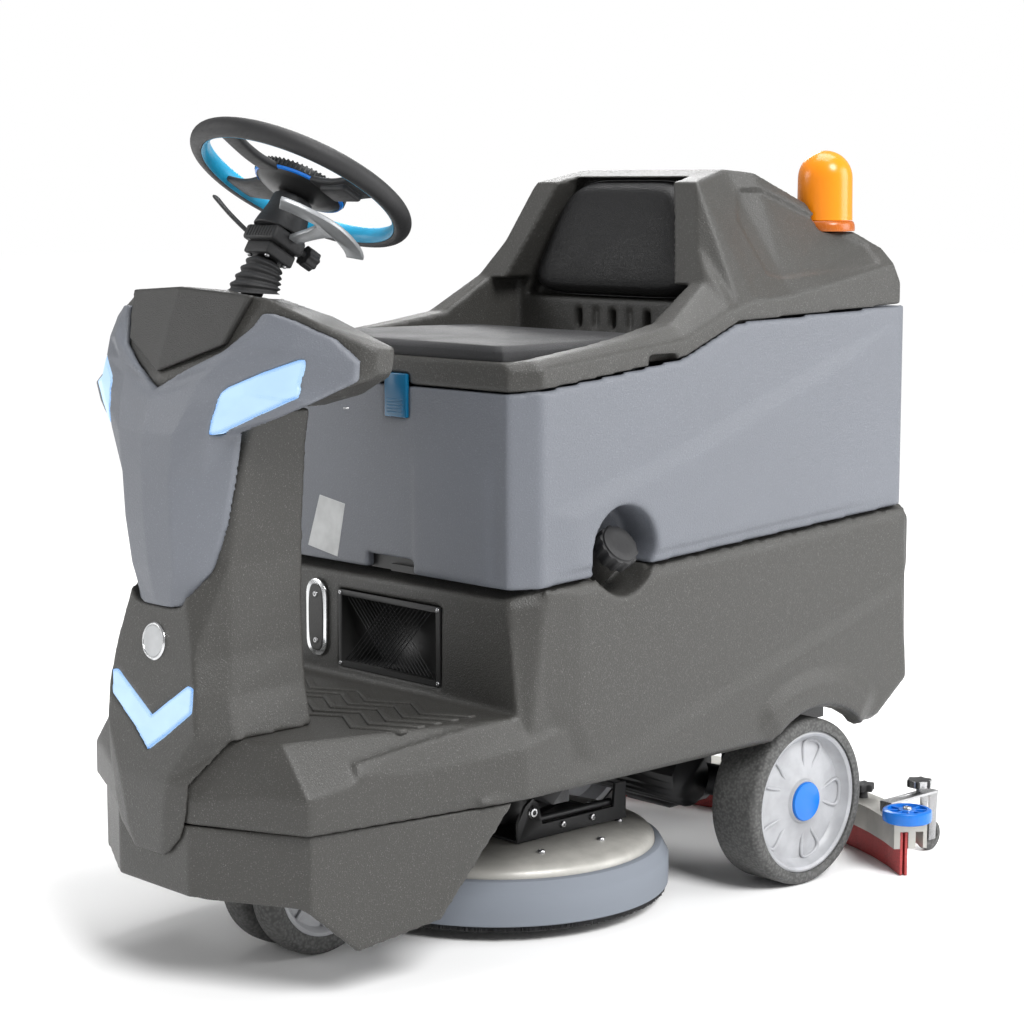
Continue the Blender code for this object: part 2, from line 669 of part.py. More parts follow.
def column_tube():
    """Outer tube of the column, ending in a yoke on the tilt pins."""
    tube = disc(TUBE_RADIUS, -0.042, 0.100, bore=SHAFT_RADIUS + CLEARANCE, steps=24)
    collar = disc(YOKE_OUTER, -0.042, -0.036, bore=SHAFT_RADIUS + CLEARANCE, steps=24)
    arms = []
    for side in (-1, 1):
        low, high = sorted((side * YOKE_INNER, side * YOKE_OUTER))
        arm = box((low, -0.009, -TILT_DEPTH - 0.009), (high, 0.009, -0.038))
        arms.append(arm)
    yoke = joined(tube, collar, *arms)
    bore = disc(PIVOT_PIN_RADIUS + CLEARANCE, -0.05, 0.05, "X", (0, 0, -TILT_DEPTH), 12)
    return on_column(cut(yoke, bore))


def column_boot():
    """Ribbed bellows between the dash and the clamp."""
    foot = column_foot()
    rings = []
    ribs = 4
    steps = 24
    levels = [(0.0, 0.0)]
    for k in range(ribs):
        levels += [(0.1 + 0.9 * (k + 0.05) / ribs, 0.0), (0.1 + 0.9 * (k + 0.5) / ribs, -0.0045)]
    levels.append((1.0, 0.0))
    for share, groove in levels:
        lean = -COLUMN_RAKE * share + math.radians(-4.0) * (1 - share)
        place = Matrix.Translation(foot + column_axis() * (0.003 + 0.035 * share) + Vector((0, 0, 0.001))) \
            @ Matrix.Rotation(lean, 4, "X")
        radius = BOOT_RADIUS + (0.024 - BOOT_RADIUS) * share + groove
        ring = []
        for i in range(steps):
            angle = math.tau * i / steps
            ring.append(tuple(place @ Vector((radius * math.cos(angle), radius * math.sin(angle), 0))))
        rings.append(ring)
    bore = on_column(disc(TUBE_RADIUS + 0.001, -0.02, 0.08, steps=24))
    return cut(loft(rings), bore)


def column_clamp():
    """Two-part clamp block round the column tube."""
    lower = eased(box((-0.026, -0.024, 0.0425), (0.026, 0.024, 0.062)), 0.004)
    upper = eased(box((-0.034, -0.030, 0.060), (0.034, 0.026, 0.082)), 0.004)
    block = joined(lower, upper)
    return on_column(cut(block, disc(TUBE_RADIUS + CLEARANCE, 0.0, 0.12, steps=24)))


def column_head():
    """Cast head that covers the column under the steering wheel."""
    profile = [(TUBE_RADIUS + CLEARANCE, 0.0826), (0.030, 0.0826), (0.026, 0.112), (0.024, 0.1335),
               (TUBE_RADIUS + CLEARANCE, 0.1335)]
    return on_column(turned(profile, steps=24))


def tilt_knob():
    """Knob on the driver's side that locks the column tilt."""
    stem = disc(0.005, 0.0264, 0.040, "Y", steps=12)
    grip = eased(disc(0.014, 0.036, 0.056, "Y", steps=10), 0.002)
    return on_column(moved(joined(stem, grip), Matrix.Translation((0.020, 0, 0.0712))))


PADDLE_ROOT = 0.0367         # inner end, clear of the clamp when the paddle is pulled


def throttle_paddle():
    """Curved drive paddle under the left side of the rim."""
    outline = []
    inner, outer = 0.098, 0.122
    sweep = math.radians(42)
    count = 8
    for k in range(count + 1):
        angle = -sweep + 2 * sweep * k / count
        outline.append((outer * math.cos(angle), outer * math.sin(angle)))
    for k in range(count + 1):
        angle = sweep - 2 * sweep * k / count
        if abs(angle) > math.radians(9):
            outline.append((inner * math.cos(angle), inner * math.sin(angle)))
        elif abs(angle) < 1e-6:
            outline += [(0.060, 0.010), (PADDLE_ROOT, 0.008), (PADDLE_ROOT, -0.008), (0.060, -0.010)]
    blade = prism(outline, "Z", -0.0035, 0.0035)
    lift = Matrix.Translation((0.0, 0.0, 0.066)) @ Matrix.Rotation(math.radians(-14), 4, "Y")
    return on_column(moved(blade, lift))


def direction_lever():
    """Thin lever on the right of the column."""
    path = ((-0.0346, 0.000, 0.071), (-0.060, -0.010, 0.082), (-0.095, -0.022, 0.100), (-0.112, -0.028, 0.112))
    sections = []
    for k, (x, y, z) in enumerate(path):
        half = (0.003, 0.006, 0.005, 0.007)[k]
        thick = 0.0025
        sections.append([(x, y - half, z - thick), (x, y + half, z - thick),
                         (x, y + half, z + thick), (x, y - half, z + thick)])
    return on_column(loft(sections))


def steering_rim():
    """Black grip of the steering wheel, without the lining."""
    centre = STEERING_RADIUS - RIM_TUBE
    split = centre - 0.006
    profile = [(split, -0.0118)]
    for k in range(9):
        angle = math.radians(-112 + 28 * k)
        profile.append((centre + RIM_TUBE * math.cos(angle), RIM_TUBE * math.sin(angle)))
    profile.append((split, 0.0118))
    return on_column(turned(profile, centre=(0, 0, COLUMN_LENGTH), steps=40))


def rim_insert():
    """Coloured lining inside the rim."""
    split = STEERING_RADIUS - RIM_TUBE - 0.006 - CLEARANCE
    inner = STEERING_RADIUS - 2 * RIM_TUBE - 0.001
    profile = [(split, -0.0115), (split, 0.0115), (inner, 0.0075), (inner, -0.0075)]
    return on_column(turned(profile, centre=(0, 0, COLUMN_LENGTH), steps=40))


HUB_RADIUS = 0.056


def wheel_hub():
    """Hub with three spokes and the upper steering shaft."""
    plane = COLUMN_LENGTH
    hub = turned([(0.0, plane - 0.024), (0.022, plane - 0.024), (0.040, plane - 0.016), (HUB_RADIUS, plane - 0.010),
                  (HUB_RADIUS, plane + 0.003), (HUB_RADIUS - 0.006, plane + 0.007), (0.0, plane + 0.009)])
    shaft = disc(SHAFT_RADIUS, -TILT_DEPTH + 0.0062, plane - 0.020, steps=16)
    reach = STEERING_RADIUS - 2 * RIM_TUBE - 0.001 - 2 * CLEARANCE
    arms = []
    for degrees in (0, 180, 270):
        arm = eased(box((0.035, -0.016, plane - 0.007), (0.150, 0.016, plane + 0.001)), 0.002)
        arm = common(arm, disc(reach, plane - 0.05, plane + 0.05, steps=48))
        arms.append(moved(arm, Matrix.Rotation(math.radians(degrees), 4, "Z")))
    return on_column(joined(hub, shaft, *arms))


def lower_shaft():
    """Vertical steering shaft with its sprocket and the joint at the top."""
    pivot = tilt_pivot()
    rod = disc(SHAFT_RADIUS, 0.205, pivot.z - 0.004, centre=(0, pivot.y, 0), steps=16)
    sprocket = disc(SMALL_SPROCKET, SPROCKET_Z, SPROCKET_Z + SPROCKET_HEIGHT, centre=(0, pivot.y, 0), steps=16)
    ball = turned([(0.0, -0.0056), (0.004, -0.004), (0.0056, 0.0), (0.004, 0.004), (0.0, 0.0056)],
                  centre=tuple(pivot), steps=12)
    return joined(rod, sprocket, ball)


def steering_chain():
    """Chain loop round the two steering sprockets."""
    near = (FRONT_AXLE_Y, LARGE_SPROCKET + 0.0007)
    far = (tilt_pivot().y, SMALL_SPROCKET + 0.0007)
    lean = math.asin((near[1] - far[1]) / (near[0] - far[0]))

    def loop(extra):
        points = []
        for (y, radius), start in ((far, math.pi + lean), (near, -lean)):
            span = math.pi - 2 * lean if y == far[0] else math.pi + 2 * lean
            for k in range(19):
                angle = start + span * k / 18
                points.append(((radius + extra) * math.cos(angle), y + (radius + extra) * math.sin(angle)))
        return points

    low = SPROCKET_Z + 0.001
    high = SPROCKET_Z + SPROCKET_HEIGHT - 0.001
    return cut(prism(loop(0.004), "Z", low, high), prism(loop(0.0), "Z", low - 0.01, high + 0.01))


def front_fork():
    """Steering leg between the twin wheels, with its stem, sprocket and axle."""
    stem = disc(FORK_STEM_RADIUS, RAIL_LOW - 0.002, SPROCKET_Z + 0.002, centre=(0, FRONT_AXLE_Y, 0), steps=24)
    flange = disc(0.034, RAIL_LOW - 0.003, RAIL_LOW - CLEARANCE, centre=(0, FRONT_AXLE_Y, 0), steps=24)
    sprocket = disc(LARGE_SPROCKET, SPROCKET_Z, SPROCKET_Z + SPROCKET_HEIGHT,
                    centre=(0, FRONT_AXLE_Y, 0), steps=32)
    half = TWIN_GAP / 2 - 0.0015
    leg = prism([(fore(-0.022), FRONT_WHEEL_RADIUS - 0.020), (fore(0.022), FRONT_WHEEL_RADIUS - 0.020),
                 (fore(0.030), RAIL_LOW - 0.0025), (fore(-0.030), RAIL_LOW - 0.0025)], "X", -half, half)
    axle = disc(0.008, -0.054, 0.054, "X", (0, FRONT_AXLE_Y, FRONT_WHEEL_RADIUS), 16)
    return joined(stem, flange, sprocket, leg, axle)


def front_wheel(side):
    """One of the twin front wheels: a tyre on a dished centre."""
    inner = TWIN_GAP / 2
    outer = inner + FRONT_WHEEL_WIDTH
    middle = (inner + outer) / 2
    tread = FRONT_WHEEL_RADIUS
    profile = [(0.0084, inner), (tread - 0.008, inner), (tread, inner + 0.008), (tread, outer - 0.008),
               (tread - 0.008, outer), (0.072, outer), (0.068, middle + 0.010), (0.022, middle + 0.010),
               (0.020, outer - 0.006), (0.0084, outer - 0.006)]
    wheel = turned(profile, "X", (0, FRONT_AXLE_Y, FRONT_WHEEL_RADIUS), 28)
    if side < 0:
        wheel = solid(moved(wheel, Matrix.Scale(-1, 4, Vector((1, 0, 0)))))
    return wheel


# ---------------------------------------------------------------- drive and rear wheels
def transaxle():
    """Rear axle tube with the gearbox and the drive motor ahead of it."""
    height = REAR_WHEEL_RADIUS
    reach = HALF - REAR_TYRE_WIDTH - 0.003
    tube = disc(AXLE_TUBE_RADIUS, -reach, reach, "X", (0, REAR_AXLE_Y, height), 24)
    stubs = disc(0.010, -(HALF - 0.010), HALF - 0.010, "X", (0, REAR_AXLE_Y, height), 16)
    gearbox = eased(box((-0.055, aft(-0.060), height - 0.045), (0.055, aft(0.045), height + 0.050)), 0.010)
    motor = disc(0.042, -0.090, 0.120, "X", (0, aft(-0.085), height + 0.020), 24)
    return joined(tube, stubs, gearbox, motor)


def rear_tyre(side):
    """Solid rubber tyre with eased shoulders."""
    outer = HALF
    inner = HALF - REAR_TYRE_WIDTH
    tread = REAR_WHEEL_RADIUS
    profile = [(REAR_RIM_RADIUS, inner), (tread - 0.006, inner), (tread, inner + 0.006), (tread, outer - 0.006),
               (tread - 0.006, outer), (REAR_RIM_RADIUS, outer)]
    tyre = turned(profile, "X", (0, REAR_AXLE_Y, REAR_WHEEL_RADIUS), 36)
    if side < 0:
        tyre = solid(moved(tyre, Matrix.Scale(-1, 4, Vector((1, 0, 0)))))
    return tyre


def rear_rim(side):
    """Dished rim with its hub and hub cap."""
    outer = HALF - 0.004
    inner = HALF - REAR_TYRE_WIDTH + 0.004
    edge = REAR_RIM_RADIUS - CLEARANCE
    profile = [(0.0104, inner), (0.030, inner), (0.036, outer - 0.050), (edge - 0.012, outer - 0.050),
               (edge - 0.008, inner), (edge, inner), (edge, outer), (edge - 0.006, outer),
               (edge - 0.010, outer - 0.012), (0.034, outer - 0.022), (0.030, outer - 0.012),
               (0.026, outer - 0.004), (0.0, outer - 0.002), (0.0, outer - 0.012 + 0.0064),
               (0.0104, outer - 0.012 + 0.0064)]
    rim = turned(profile, "X", (0, REAR_AXLE_Y, REAR_WHEEL_RADIUS), 36)
    if side < 0:
        rim = solid(moved(rim, Matrix.Scale(-1, 4, Vector((1, 0, 0)))))
    return rim


# ---------------------------------------------------------------- battery, filter and lift
def battery_pack():
    """Battery tray and cells on the frame inside the plinth."""
    return eased(box((-0.160, aft(-0.200), RAIL_HIGH + CLEARANCE), (0.160, aft(0.110), 0.460)), 0.006)


def filter_basket():
    """Mesh basket of the solution filter in the front of the plinth."""
    y0, y1 = fore(0.1495), fore(0.200)
    x0, x1, z0, z1 = -0.100 + CLEARANCE, 0.120 - CLEARANCE, 0.362 + CLEARANCE, 0.474 - CLEARANCE
    shell = box((x0, y0, z0), (x1, y1, z1))
    return cut(shell, box((x0 + 0.008, y0 - 0.01, z0 + 0.008), (x1 - 0.008, y1 - 0.006, z1 - 0.008)))


def latch_plate():
    """Oval screwed plate beside the filter."""
    half, radius = 0.034, 0.023
    outline = []
    for start, centre in ((0.0, half), (math.pi, -half)):
        for k in range(9):
            angle = start + math.pi * k / 8
            outline.append((-0.146 + radius * math.cos(angle), 0.427 + centre + radius * math.sin(angle)))
    return prism(outline, "Y", fore(0.1455), fore(0.1455) + 0.0045)


def lift_actuator():
    """Linear actuator that raises the brush deck."""
    y = fore(BRUSH_FORE + ACTUATOR_BACK)
    tube = disc(ACTUATOR_RADIUS, 0.176, 0.2125, centre=(0, y, 0), steps=16)
    collar = disc(0.026, RAIL_HIGH + 0.00015, RAIL_HIGH - 0.0001 + 0.003, centre=(0, y, 0), steps=16)
    upper = disc(ACTUATOR_RADIUS, 0.205, RAIL_HIGH + 0.0022, centre=(0, y, 0), steps=16)
    body = joined(tube, upper, collar)
    return cut(body, disc(ROD_RADIUS + CLEARANCE, 0.10, 0.2285, centre=(0, y, 0), steps=16))


# ---------------------------------------------------------------- brush deck
DOME_TOP_Z = 0.1145
DOME_WALL = 0.004


def brush_cover():
    """Pressed dome over the brush."""
    edge = BRUSH_RADIUS - 0.0185
    top = DOME_TOP_Z
    profile = [(0.022, top), (0.120, top - 0.001), (edge - 0.030, top - 0.009), (edge - 0.006, top - 0.015),
               (edge, top - 0.022), (edge, 0.072), (edge - DOME_WALL, 0.072),
               (edge - DOME_WALL, top - 0.024), (edge - 0.032, top - 0.014), (0.120, top - DOME_WALL - 0.001),
               (0.022, top - DOME_WALL)]
    return turned(profile, centre=(0, fore(BRUSH_FORE), 0), steps=40)


def splash_skirt():
    """Rubber skirt round the foot of the dome."""
    grip = BRUSH_RADIUS - 0.0185 + CLEARANCE
    outer = BRUSH_RADIUS + 0.002
    profile = [(grip, 0.088), (outer - 0.012, 0.088), (outer, 0.074), (outer, 0.024), (outer - 0.006, 0.024),
               (outer - 0.006, 0.070), (grip, 0.0745)]
    return turned(profile, centre=(0, fore(BRUSH_FORE), 0), steps=40)


def brush_disc():
    """Block that carries the bristles, with its drive hub."""
    low = BRISTLE_TIP_Z + BRISTLE_LENGTH
    profile = [(0.0, low), (BRUSH_RADIUS - 0.014, low), (BRUSH_RADIUS - 0.014, low + 0.014), (0.040, low + 0.016),
               (0.030, low + 0.030), (0.012, low + 0.030), (0.012, DOME_TOP_Z + 0.0042), (0.0, DOME_TOP_Z + 0.0042)]
    return turned(profile, centre=(0, fore(BRUSH_FORE), 0), steps=40)


def bristle_ring():
    """Bristle field as a plain ring."""
    high = BRISTLE_TIP_Z + BRISTLE_LENGTH - CLEARANCE
    return turned([(0.080, BRISTLE_TIP_Z), (BRUSH_RADIUS - 0.004, BRISTLE_TIP_Z), (BRUSH_RADIUS - 0.012, high),
                   (0.080, high)], centre=(0, fore(BRUSH_FORE), 0), steps=40)


def brush_bracket():
    """Steel channel on the dome with its cheeks, and the lift rod."""
    y = fore(BRUSH_FORE)
    low = DOME_TOP_Z + CLEARANCE
    base = cut(box((-0.124, y - 0.078, low), (0.124, y + 0.142, low + 0.004)),
               disc(0.056, 0.0, 0.3, centre=(0, y, 0), steps=24))
    cheeks = []
    profile = [(y - 0.078, low + 0.001), (y + 0.142, low + 0.001), (y + 0.142, low + 0.055), (y + 0.120, low + 0.055),
               (y + 0.116, low + 0.020), (y - 0.030, low + 0.020), (y - 0.038, low + 0.052), (y - 0.050, low + 0.061),
               (y - 0.064, low + 0.052), (y - 0.078, low + 0.030)]
    for side in (-1, 1):
        x0, x1 = sorted((side * 0.119, side * 0.124))
        cheeks.append(prism(profile, "X", x0, x1))
        cheeks.append(disc(0.008, x0 - 0.004, x1 + 0.004, "X", (0, y - 0.050, low + 0.041), 12))
    rod = disc(ROD_RADIUS, low + 0.002, 0.196, centre=(0, y + ACTUATOR_BACK, 0), steps=16)
    return joined(base, *cheeks, rod)


def brush_motor():
    """Gear motor on the middle of the dome."""
    y = fore(BRUSH_FORE)
    low = DOME_TOP_Z + CLEARANCE
    body = turned([(0.0, low + 0.006), (0.0124, low + 0.006), (0.0124, low), (0.052, low), (0.052, low + 0.030),
                   (0.044, low + 0.038), (0.044, 0.190), (0.030, 0.196), (0.0, 0.196)],
                  centre=(0, y, 0), steps=24)
    return body


# ---------------------------------------------------------------- squeegee
CHANNEL_LOW = 0.042
CHANNEL_HIGH = 0.080
CHANNEL_DEPTH = 0.052
BLADE_THICKNESS = 0.004
CASTER_X = 0.300


def squeegee_arc(offset, z, grow=0.0, count=14):
    """Points along the squeegee's curve, moved outwards by an offset and lengthened at both ends."""
    centre_y = aft(BLADE_CROWN) - SQUEEGEE_RADIUS
    reach = math.asin(SQUEEGEE_HALF_SPAN / SQUEEGEE_RADIUS)
    radius = SQUEEGEE_RADIUS + offset
    turns = [-reach + 2 * reach * k / count for k in range(count + 1)]
    points = [Vector((radius * math.sin(turn), centre_y + radius * math.cos(turn), z)) for turn in turns]
    for end, near in ((0, 1), (-1, -2)):
        points[end] = points[end] + (points[end] - points[near]).normalized() * grow
    return [tuple(point) for point in points]


def arc_strip(offset, thickness, low, high, grow=0.0):
    """Strip that follows the squeegee's curve."""
    edges = [squeegee_arc(offset, low, grow), squeegee_arc(offset + thickness, low, grow),
             squeegee_arc(offset + thickness, high, grow), squeegee_arc(offset, high, grow)]
    return loft([list(section) for section in zip(*edges)])


def squeegee_channel():
    """Aluminium extrusion that holds the blades."""
    bar = arc_strip(-0.010, CHANNEL_DEPTH, CHANNEL_LOW, CHANNEL_HIGH)
    for offset, width in ((-CLEARANCE, 2 * BLADE_THICKNESS + 0.004 + 2 * CLEARANCE), (0.024, 0.012)):
        bar = cut(bar, arc_strip(offset, width, CHANNEL_LOW - 0.01, CHANNEL_HIGH - 0.012, 0.05))
    return bar


def front_blade():
    """Front rubber blade."""
    return arc_strip(0.0, BLADE_THICKNESS, 0.0006, CHANNEL_HIGH - 0.0124, -0.0006)


def rear_blade():
    """Rear rubber blade, which wipes the floor."""
    return arc_strip(BLADE_THICKNESS + 0.004 - CLEARANCE, BLADE_THICKNESS, 0.0, CHANNEL_HIGH - 0.0124,
                     -0.0006)


def channel_place(x, offset):
    """Y of the squeegee's curve at a distance from the middle."""
    centre_y = aft(BLADE_CROWN) - SQUEEGEE_RADIUS
    return centre_y + math.sqrt((SQUEEGEE_RADIUS + offset) ** 2 - x * x)


def squeegee_arm():
    """Arm from the chassis pivot to a saddle on the extrusion."""
    pivot_y, pivot_z = aft(ARM_PIVOT_AFT), ARM_PIVOT_Z
    saddle_y = channel_place(0, 0.016)
    saddle_z = CHANNEL_HIGH + CLEARANCE
    width = 0.039
    arm = prism([(pivot_y - 0.012, pivot_z - 0.012), (pivot_y + 0.010, pivot_z - 0.014),
                 (saddle_y - 0.030, saddle_z), (saddle_y + 0.026, saddle_z), (saddle_y + 0.026, saddle_z + 0.010),
                 (saddle_y - 0.020, saddle_z + 0.014), (pivot_y + 0.012, pivot_z + 0.012),
                 (pivot_y - 0.008, pivot_z + 0.013)], "X", -width, width)
    pin = disc(ARM_PIN_RADIUS, -0.050, 0.050, "X", (0, pivot_y, pivot_z), 16)
    spigot = disc(0.019, saddle_z + 0.004, saddle_z + 0.050, centre=(0, saddle_y, 0), steps=20)
    mouth = disc(0.016, saddle_z + 0.016, saddle_z + 0.070, centre=(0, saddle_y, 0), steps=20)
    return cut(joined(arm, pin, spigot), mouth)


def roller(side):
    """Wall roller at the end of the squeegee."""
    x = side * ROLLER_X
    y = channel_place(ROLLER_X, 0.016)
    low = CHANNEL_HIGH + CLEARANCE
    profile = [(0.0, low), (ROLLER_RADIUS - 0.004, low), (ROLLER_RADIUS, low + 0.004), (ROLLER_RADIUS, low + 0.016),
               (ROLLER_RADIUS - 0.004, low + 0.020), (0.010, low + 0.020), (0.008, low + 0.016), (0.0, low + 0.016)]
    return turned(profile, centre=(x, y, 0), steps=28)


ROLLER_X = 0.346
CASTER_Y = TAIL_OVERHANG - CASTER_RADIUS


def caster_bracket(side):
    """Flat bar behind the extrusion with the caster's fork and its height knob."""
    x = side * CASTER_X
    y_bar = channel_place(CASTER_X, 0.016)
    y_wheel = aft(CASTER_Y)
    low = CHANNEL_HIGH + CLEARANCE
    bar_half = 0.011
    inner_x = x - side * 0.012
    foot = box((inner_x - bar_half, y_bar - 0.006, low), (inner_x + bar_half, y_bar + 0.020, low + 0.016))
    bar = box((inner_x - bar_half, y_bar + 0.008, low + 0.012), (inner_x + bar_half, y_wheel + 0.010, low + 0.016))
    knob_y = y_wheel - 0.026
    stem = disc(0.005, low + 0.014, low + 0.028, centre=(inner_x, knob_y, 0), steps=12)
    knob = disc(0.019, low + 0.026, low + 0.037, centre=(inner_x, knob_y, 0), steps=14)
    parts = [bar, stem, knob]
    for offset in (-0.0096, 0.0076):
        cheek = prism([(y_wheel - 0.010, CASTER_RADIUS - 0.006), (y_wheel + 0.006, CASTER_RADIUS - 0.006),
                       (y_wheel + 0.010, low + 0.014), (y_wheel - 0.012, low + 0.014)],
                      "X", inner_x + offset, inner_x + offset + 0.002)
        parts.append(cheek)
    parts.append(disc(0.0025, inner_x - 0.009, inner_x + 0.009, "X", (0, y_wheel, CASTER_RADIUS), 12))
    return joined(foot, *parts)


def caster_wheel(side):
    """Small grey support wheel."""
    x = side * (CASTER_X - 0.012)
    profile = [(0.0028, -0.0072), (CASTER_RADIUS - 0.002, -0.0072), (CASTER_RADIUS, -0.005), (CASTER_RADIUS, 0.005),
               (CASTER_RADIUS - 0.002, 0.0072), (0.0028, 0.0072)]
    return turned(profile, "X", (x, aft(CASTER_Y), CASTER_RADIUS), 28)


# ---------------------------------------------------------------- recovery tank and seat
STRAP_LOW = 0.730
STRAP_HIGH = 0.791


def recovery_tank():
    """Dirty-water tank, open at the top under the seat housing."""
    def section(y, half, lift=0.0, top=0.0):
        return mirrored([(half, y, waistline(y) + 0.0008 + lift), (half, y, shoulder_line(y) + top)])

    bends = (fore(0.370), fore(0.462), aft(-0.170), aft(0.197))
    outer = loft([section(fore(0.150), HALF - 0.030), section(fore(0.185), HALF)]
                 + [section(y, HALF) for y in bends] + [section(aft(0.211), HALF - 0.004)])
    floor = 0.020
    cavity = loft([section(fore(0.158), HALF - 0.040, floor, 0.05), section(fore(0.190), HALF - WALL, floor, 0.05)]
                  + [section(y, HALF - WALL, floor, 0.05) for y in bends[:3]]
                  + [section(aft(0.203), HALF - WALL, floor, 0.05)])
    cavity = cut(cavity, filler_pocket(WALL))
    tank = cut(outer, cavity, filler_pocket())
    return cut(
        tank,
        box((0.0, fore(0.140), 0.45), (0.064, fore(0.1565), 0.5315)),
        box((0.007, fore(0.140), STRAP_LOW - 0.002), (0.057, fore(0.1535), 0.80)),
    )


SEAT_BAY = ((0.120, 0.247), (0.300, 0.245), (0.455, 0.218), (0.551, 0.209), (0.606, 0.204))
BACK_LEAN = 0.2247           # the backrest's rearward lean, metres per metre of height


def seat_housing():
    """Seat pan, arm ridges and the hood over the vacuum motor."""
    def section(y, half, side_z, top_half, top_z):
        return mirrored([(half, y, shoulder_line(y) + 0.0006), (half, y, side_z), (top_half, y, top_z)])

    seat = WHEELBASE - 0.744     # the seat stays the same distance from the rear axle
    outer = loft([
        section(fore(0.150), HALF - 0.030, 0.805, HALF - 0.042, 0.8150),
        section(fore(0.185), HALF, 0.808, HALF - 0.014, 0.8180),
        section(fore(0.370), HALF, 0.826, HALF - 0.018, 0.8400),
        section(fore(0.462), HALF, 0.836, HALF - 0.029, 0.8550),
        section(fore(0.551) + seat, HALF, 0.872, HALF - 0.048, 0.9100),
        section(aft(-0.170), HALF, 0.876, 0.200, 0.9640),
        section(fore(0.608) + seat, HALF, 0.884, 0.168, 1.0520),
        section(fore(0.691) + seat, HALF, 0.888, 0.148, 1.0710),
        section(fore(0.730) + seat, HALF, 0.896, 0.172, 1.0660),
        section(aft(0.180), HALF, 0.930, HALF - 0.026, 0.9540),
        section(aft(0.200), HALF - 0.002, 0.900, HALF - 0.020, 0.9150),
    ])
    basin = loft([mirrored([(HALF - WALL - 0.004, y, SEAT_PAN_Z - 0.010),
                            (HALF - WALL - 0.004, y, shoulder_line(y) + 0.010)])
                  for y in (fore(0.400), fore(0.462), aft(-0.170), fore(0.640) + seat)])
    outer = joined(outer, basin)
    bay = loft([mirrored([(half, fore(d) + (seat if d > 0.2 else 0.0), SEAT_PAN_Z),
                          (half, fore(d) + (seat if d > 0.2 else 0.0), 0.905 if d > 0.5 else 1.0)])
                for d, half in SEAT_BAY])
    well = loft([
        mirrored([(0.188, fore(0.440) + seat, 0.878), (0.188, fore(0.632) + seat, 0.878)]),
        mirrored([(0.118, fore(0.440) + seat, 1.058), (0.118, fore(0.6725) + seat, 1.058)]),
    ])
    under = box((-(HALF - 0.040), fore(0.165), 0.70), (HALF - 0.040, fore(0.400), SEAT_PAN_Z - 0.010))
    hood = loft([
        mirrored([(0.150, fore(0.650) + seat, 0.80), (0.150, fore(0.650) + seat, 0.866)]),
        mirrored([(0.132, fore(0.692) + seat, 0.80), (0.132, fore(0.692) + seat, 1.040)]),
        mirrored([(0.150, fore(0.732) + seat, 0.80), (0.150, fore(0.732) + seat, 1.045)]),
        mirrored([(HALF - 0.050, aft(0.172), 0.80), (HALF - 0.050, aft(0.172), 0.934)]),
        mirrored([(HALF - 0.040, aft(0.190), 0.80), (HALF - 0.040, aft(0.190), 0.890)]),
    ])
    housing = cut(outer, bay, well, under, hood)
    housing = cut(
        housing,
        box((0.007, fore(0.140), 0.70), (0.057, fore(0.1560), STRAP_HIGH + 0.001)),
        disc(BEACON_RADIUS + 0.004, BEACON_SEAT_Z, 1.2, centre=(BEACON_X, aft(BEACON_AFT), 0), steps=24),
    )
    for k in range(5):
        x = (k - 2) * 0.036
        housing = cut(housing, box((x - 0.005, fore(0.595) + seat, 0.832), (x + 0.005, fore(0.625) + seat, 0.862)))
    for side in (-1, 1):
        low, high = sorted((side * (HALF - 0.016), side * (HALF + 0.02)))
        housing = cut(housing, box((low, fore(0.390), 0.76), (high, fore(0.446), 0.817)))
    return housing


def seat_pad():
    """Cushion on the seat pan."""
    seat = WHEELBASE - 0.744
    outline = [(0.232, fore(0.158)), (0.236, fore(0.300)), (0.205, fore(0.490) + seat), (0.150, fore(0.505) + seat)]
    loop = outline + [(-x, y) for x, y in reversed(outline)]
    low = SEAT_PAN_Z + CLEARANCE
    pad = loft([
        [(x, y, low) for x, y in loop],
        [(x, y, low + PAD_THICKNESS - 0.006) for x, y in loop],
        [(x * 0.97, y + (0.006 if y < fore(0.2) else -0.006), low + PAD_THICKNESS) for x, y in loop],
    ])
    return pad


def backrest():
    """Backrest cushion in the well of the housing."""
    seat = WHEELBASE - 0.744

    def frame(front, shrink):
        corners = ((0.183, 0.883), (0.116, 1.053))
        points = []
        for half, z in corners:
            y = fore(0.632) + seat + (z - 0.878) * BACK_LEAN - 0.0008 - front
            points.append((half - shrink, y, z + (shrink if z < 0.95 else -shrink)))
        return mirrored(points)

    return loft([frame(0.0, 0.0), frame(0.036, 0.0), frame(0.054, 0.018)])


BEACON_X = 0.200
BEACON_AFT = 0.116
BEACON_RADIUS = 0.046
BEACON_SEAT_Z = 0.9780


def beacon_base():
    """Amber foot ring of the beacon."""
    low = BEACON_SEAT_Z + CLEARANCE
    return turned([(0.0, low), (BEACON_RADIUS, low), (BEACON_RADIUS, low + 0.012), (BEACON_RADIUS - 0.004, low + 0.016),
                   (0.0, low + 0.016)], centre=(BEACON_X, aft(BEACON_AFT), 0), steps=28)


def beacon_lens():
    """Domed beacon lens, open underneath."""
    low = BEACON_SEAT_Z + 0.016 + 2 * CLEARANCE
    radius = BEACON_RADIUS - 0.004
    wall = 0.003
    top = 1.100 - radius
    turns = [math.radians(18 * k) for k in range(5)]
    outer = [(radius * math.cos(turn), top + radius * math.sin(turn)) for turn in turns]
    inner = [((radius - wall) * math.cos(turn), top + (radius - wall) * math.sin(turn)) for turn in turns]
    crown = [(0.0, top + radius), (0.0, top + radius - wall)]
    profile = [(radius - wall, low), (radius, low)] + outer + crown + inner[::-1]
    return turned(profile, centre=(BEACON_X, aft(BEACON_AFT), 0), steps=28)


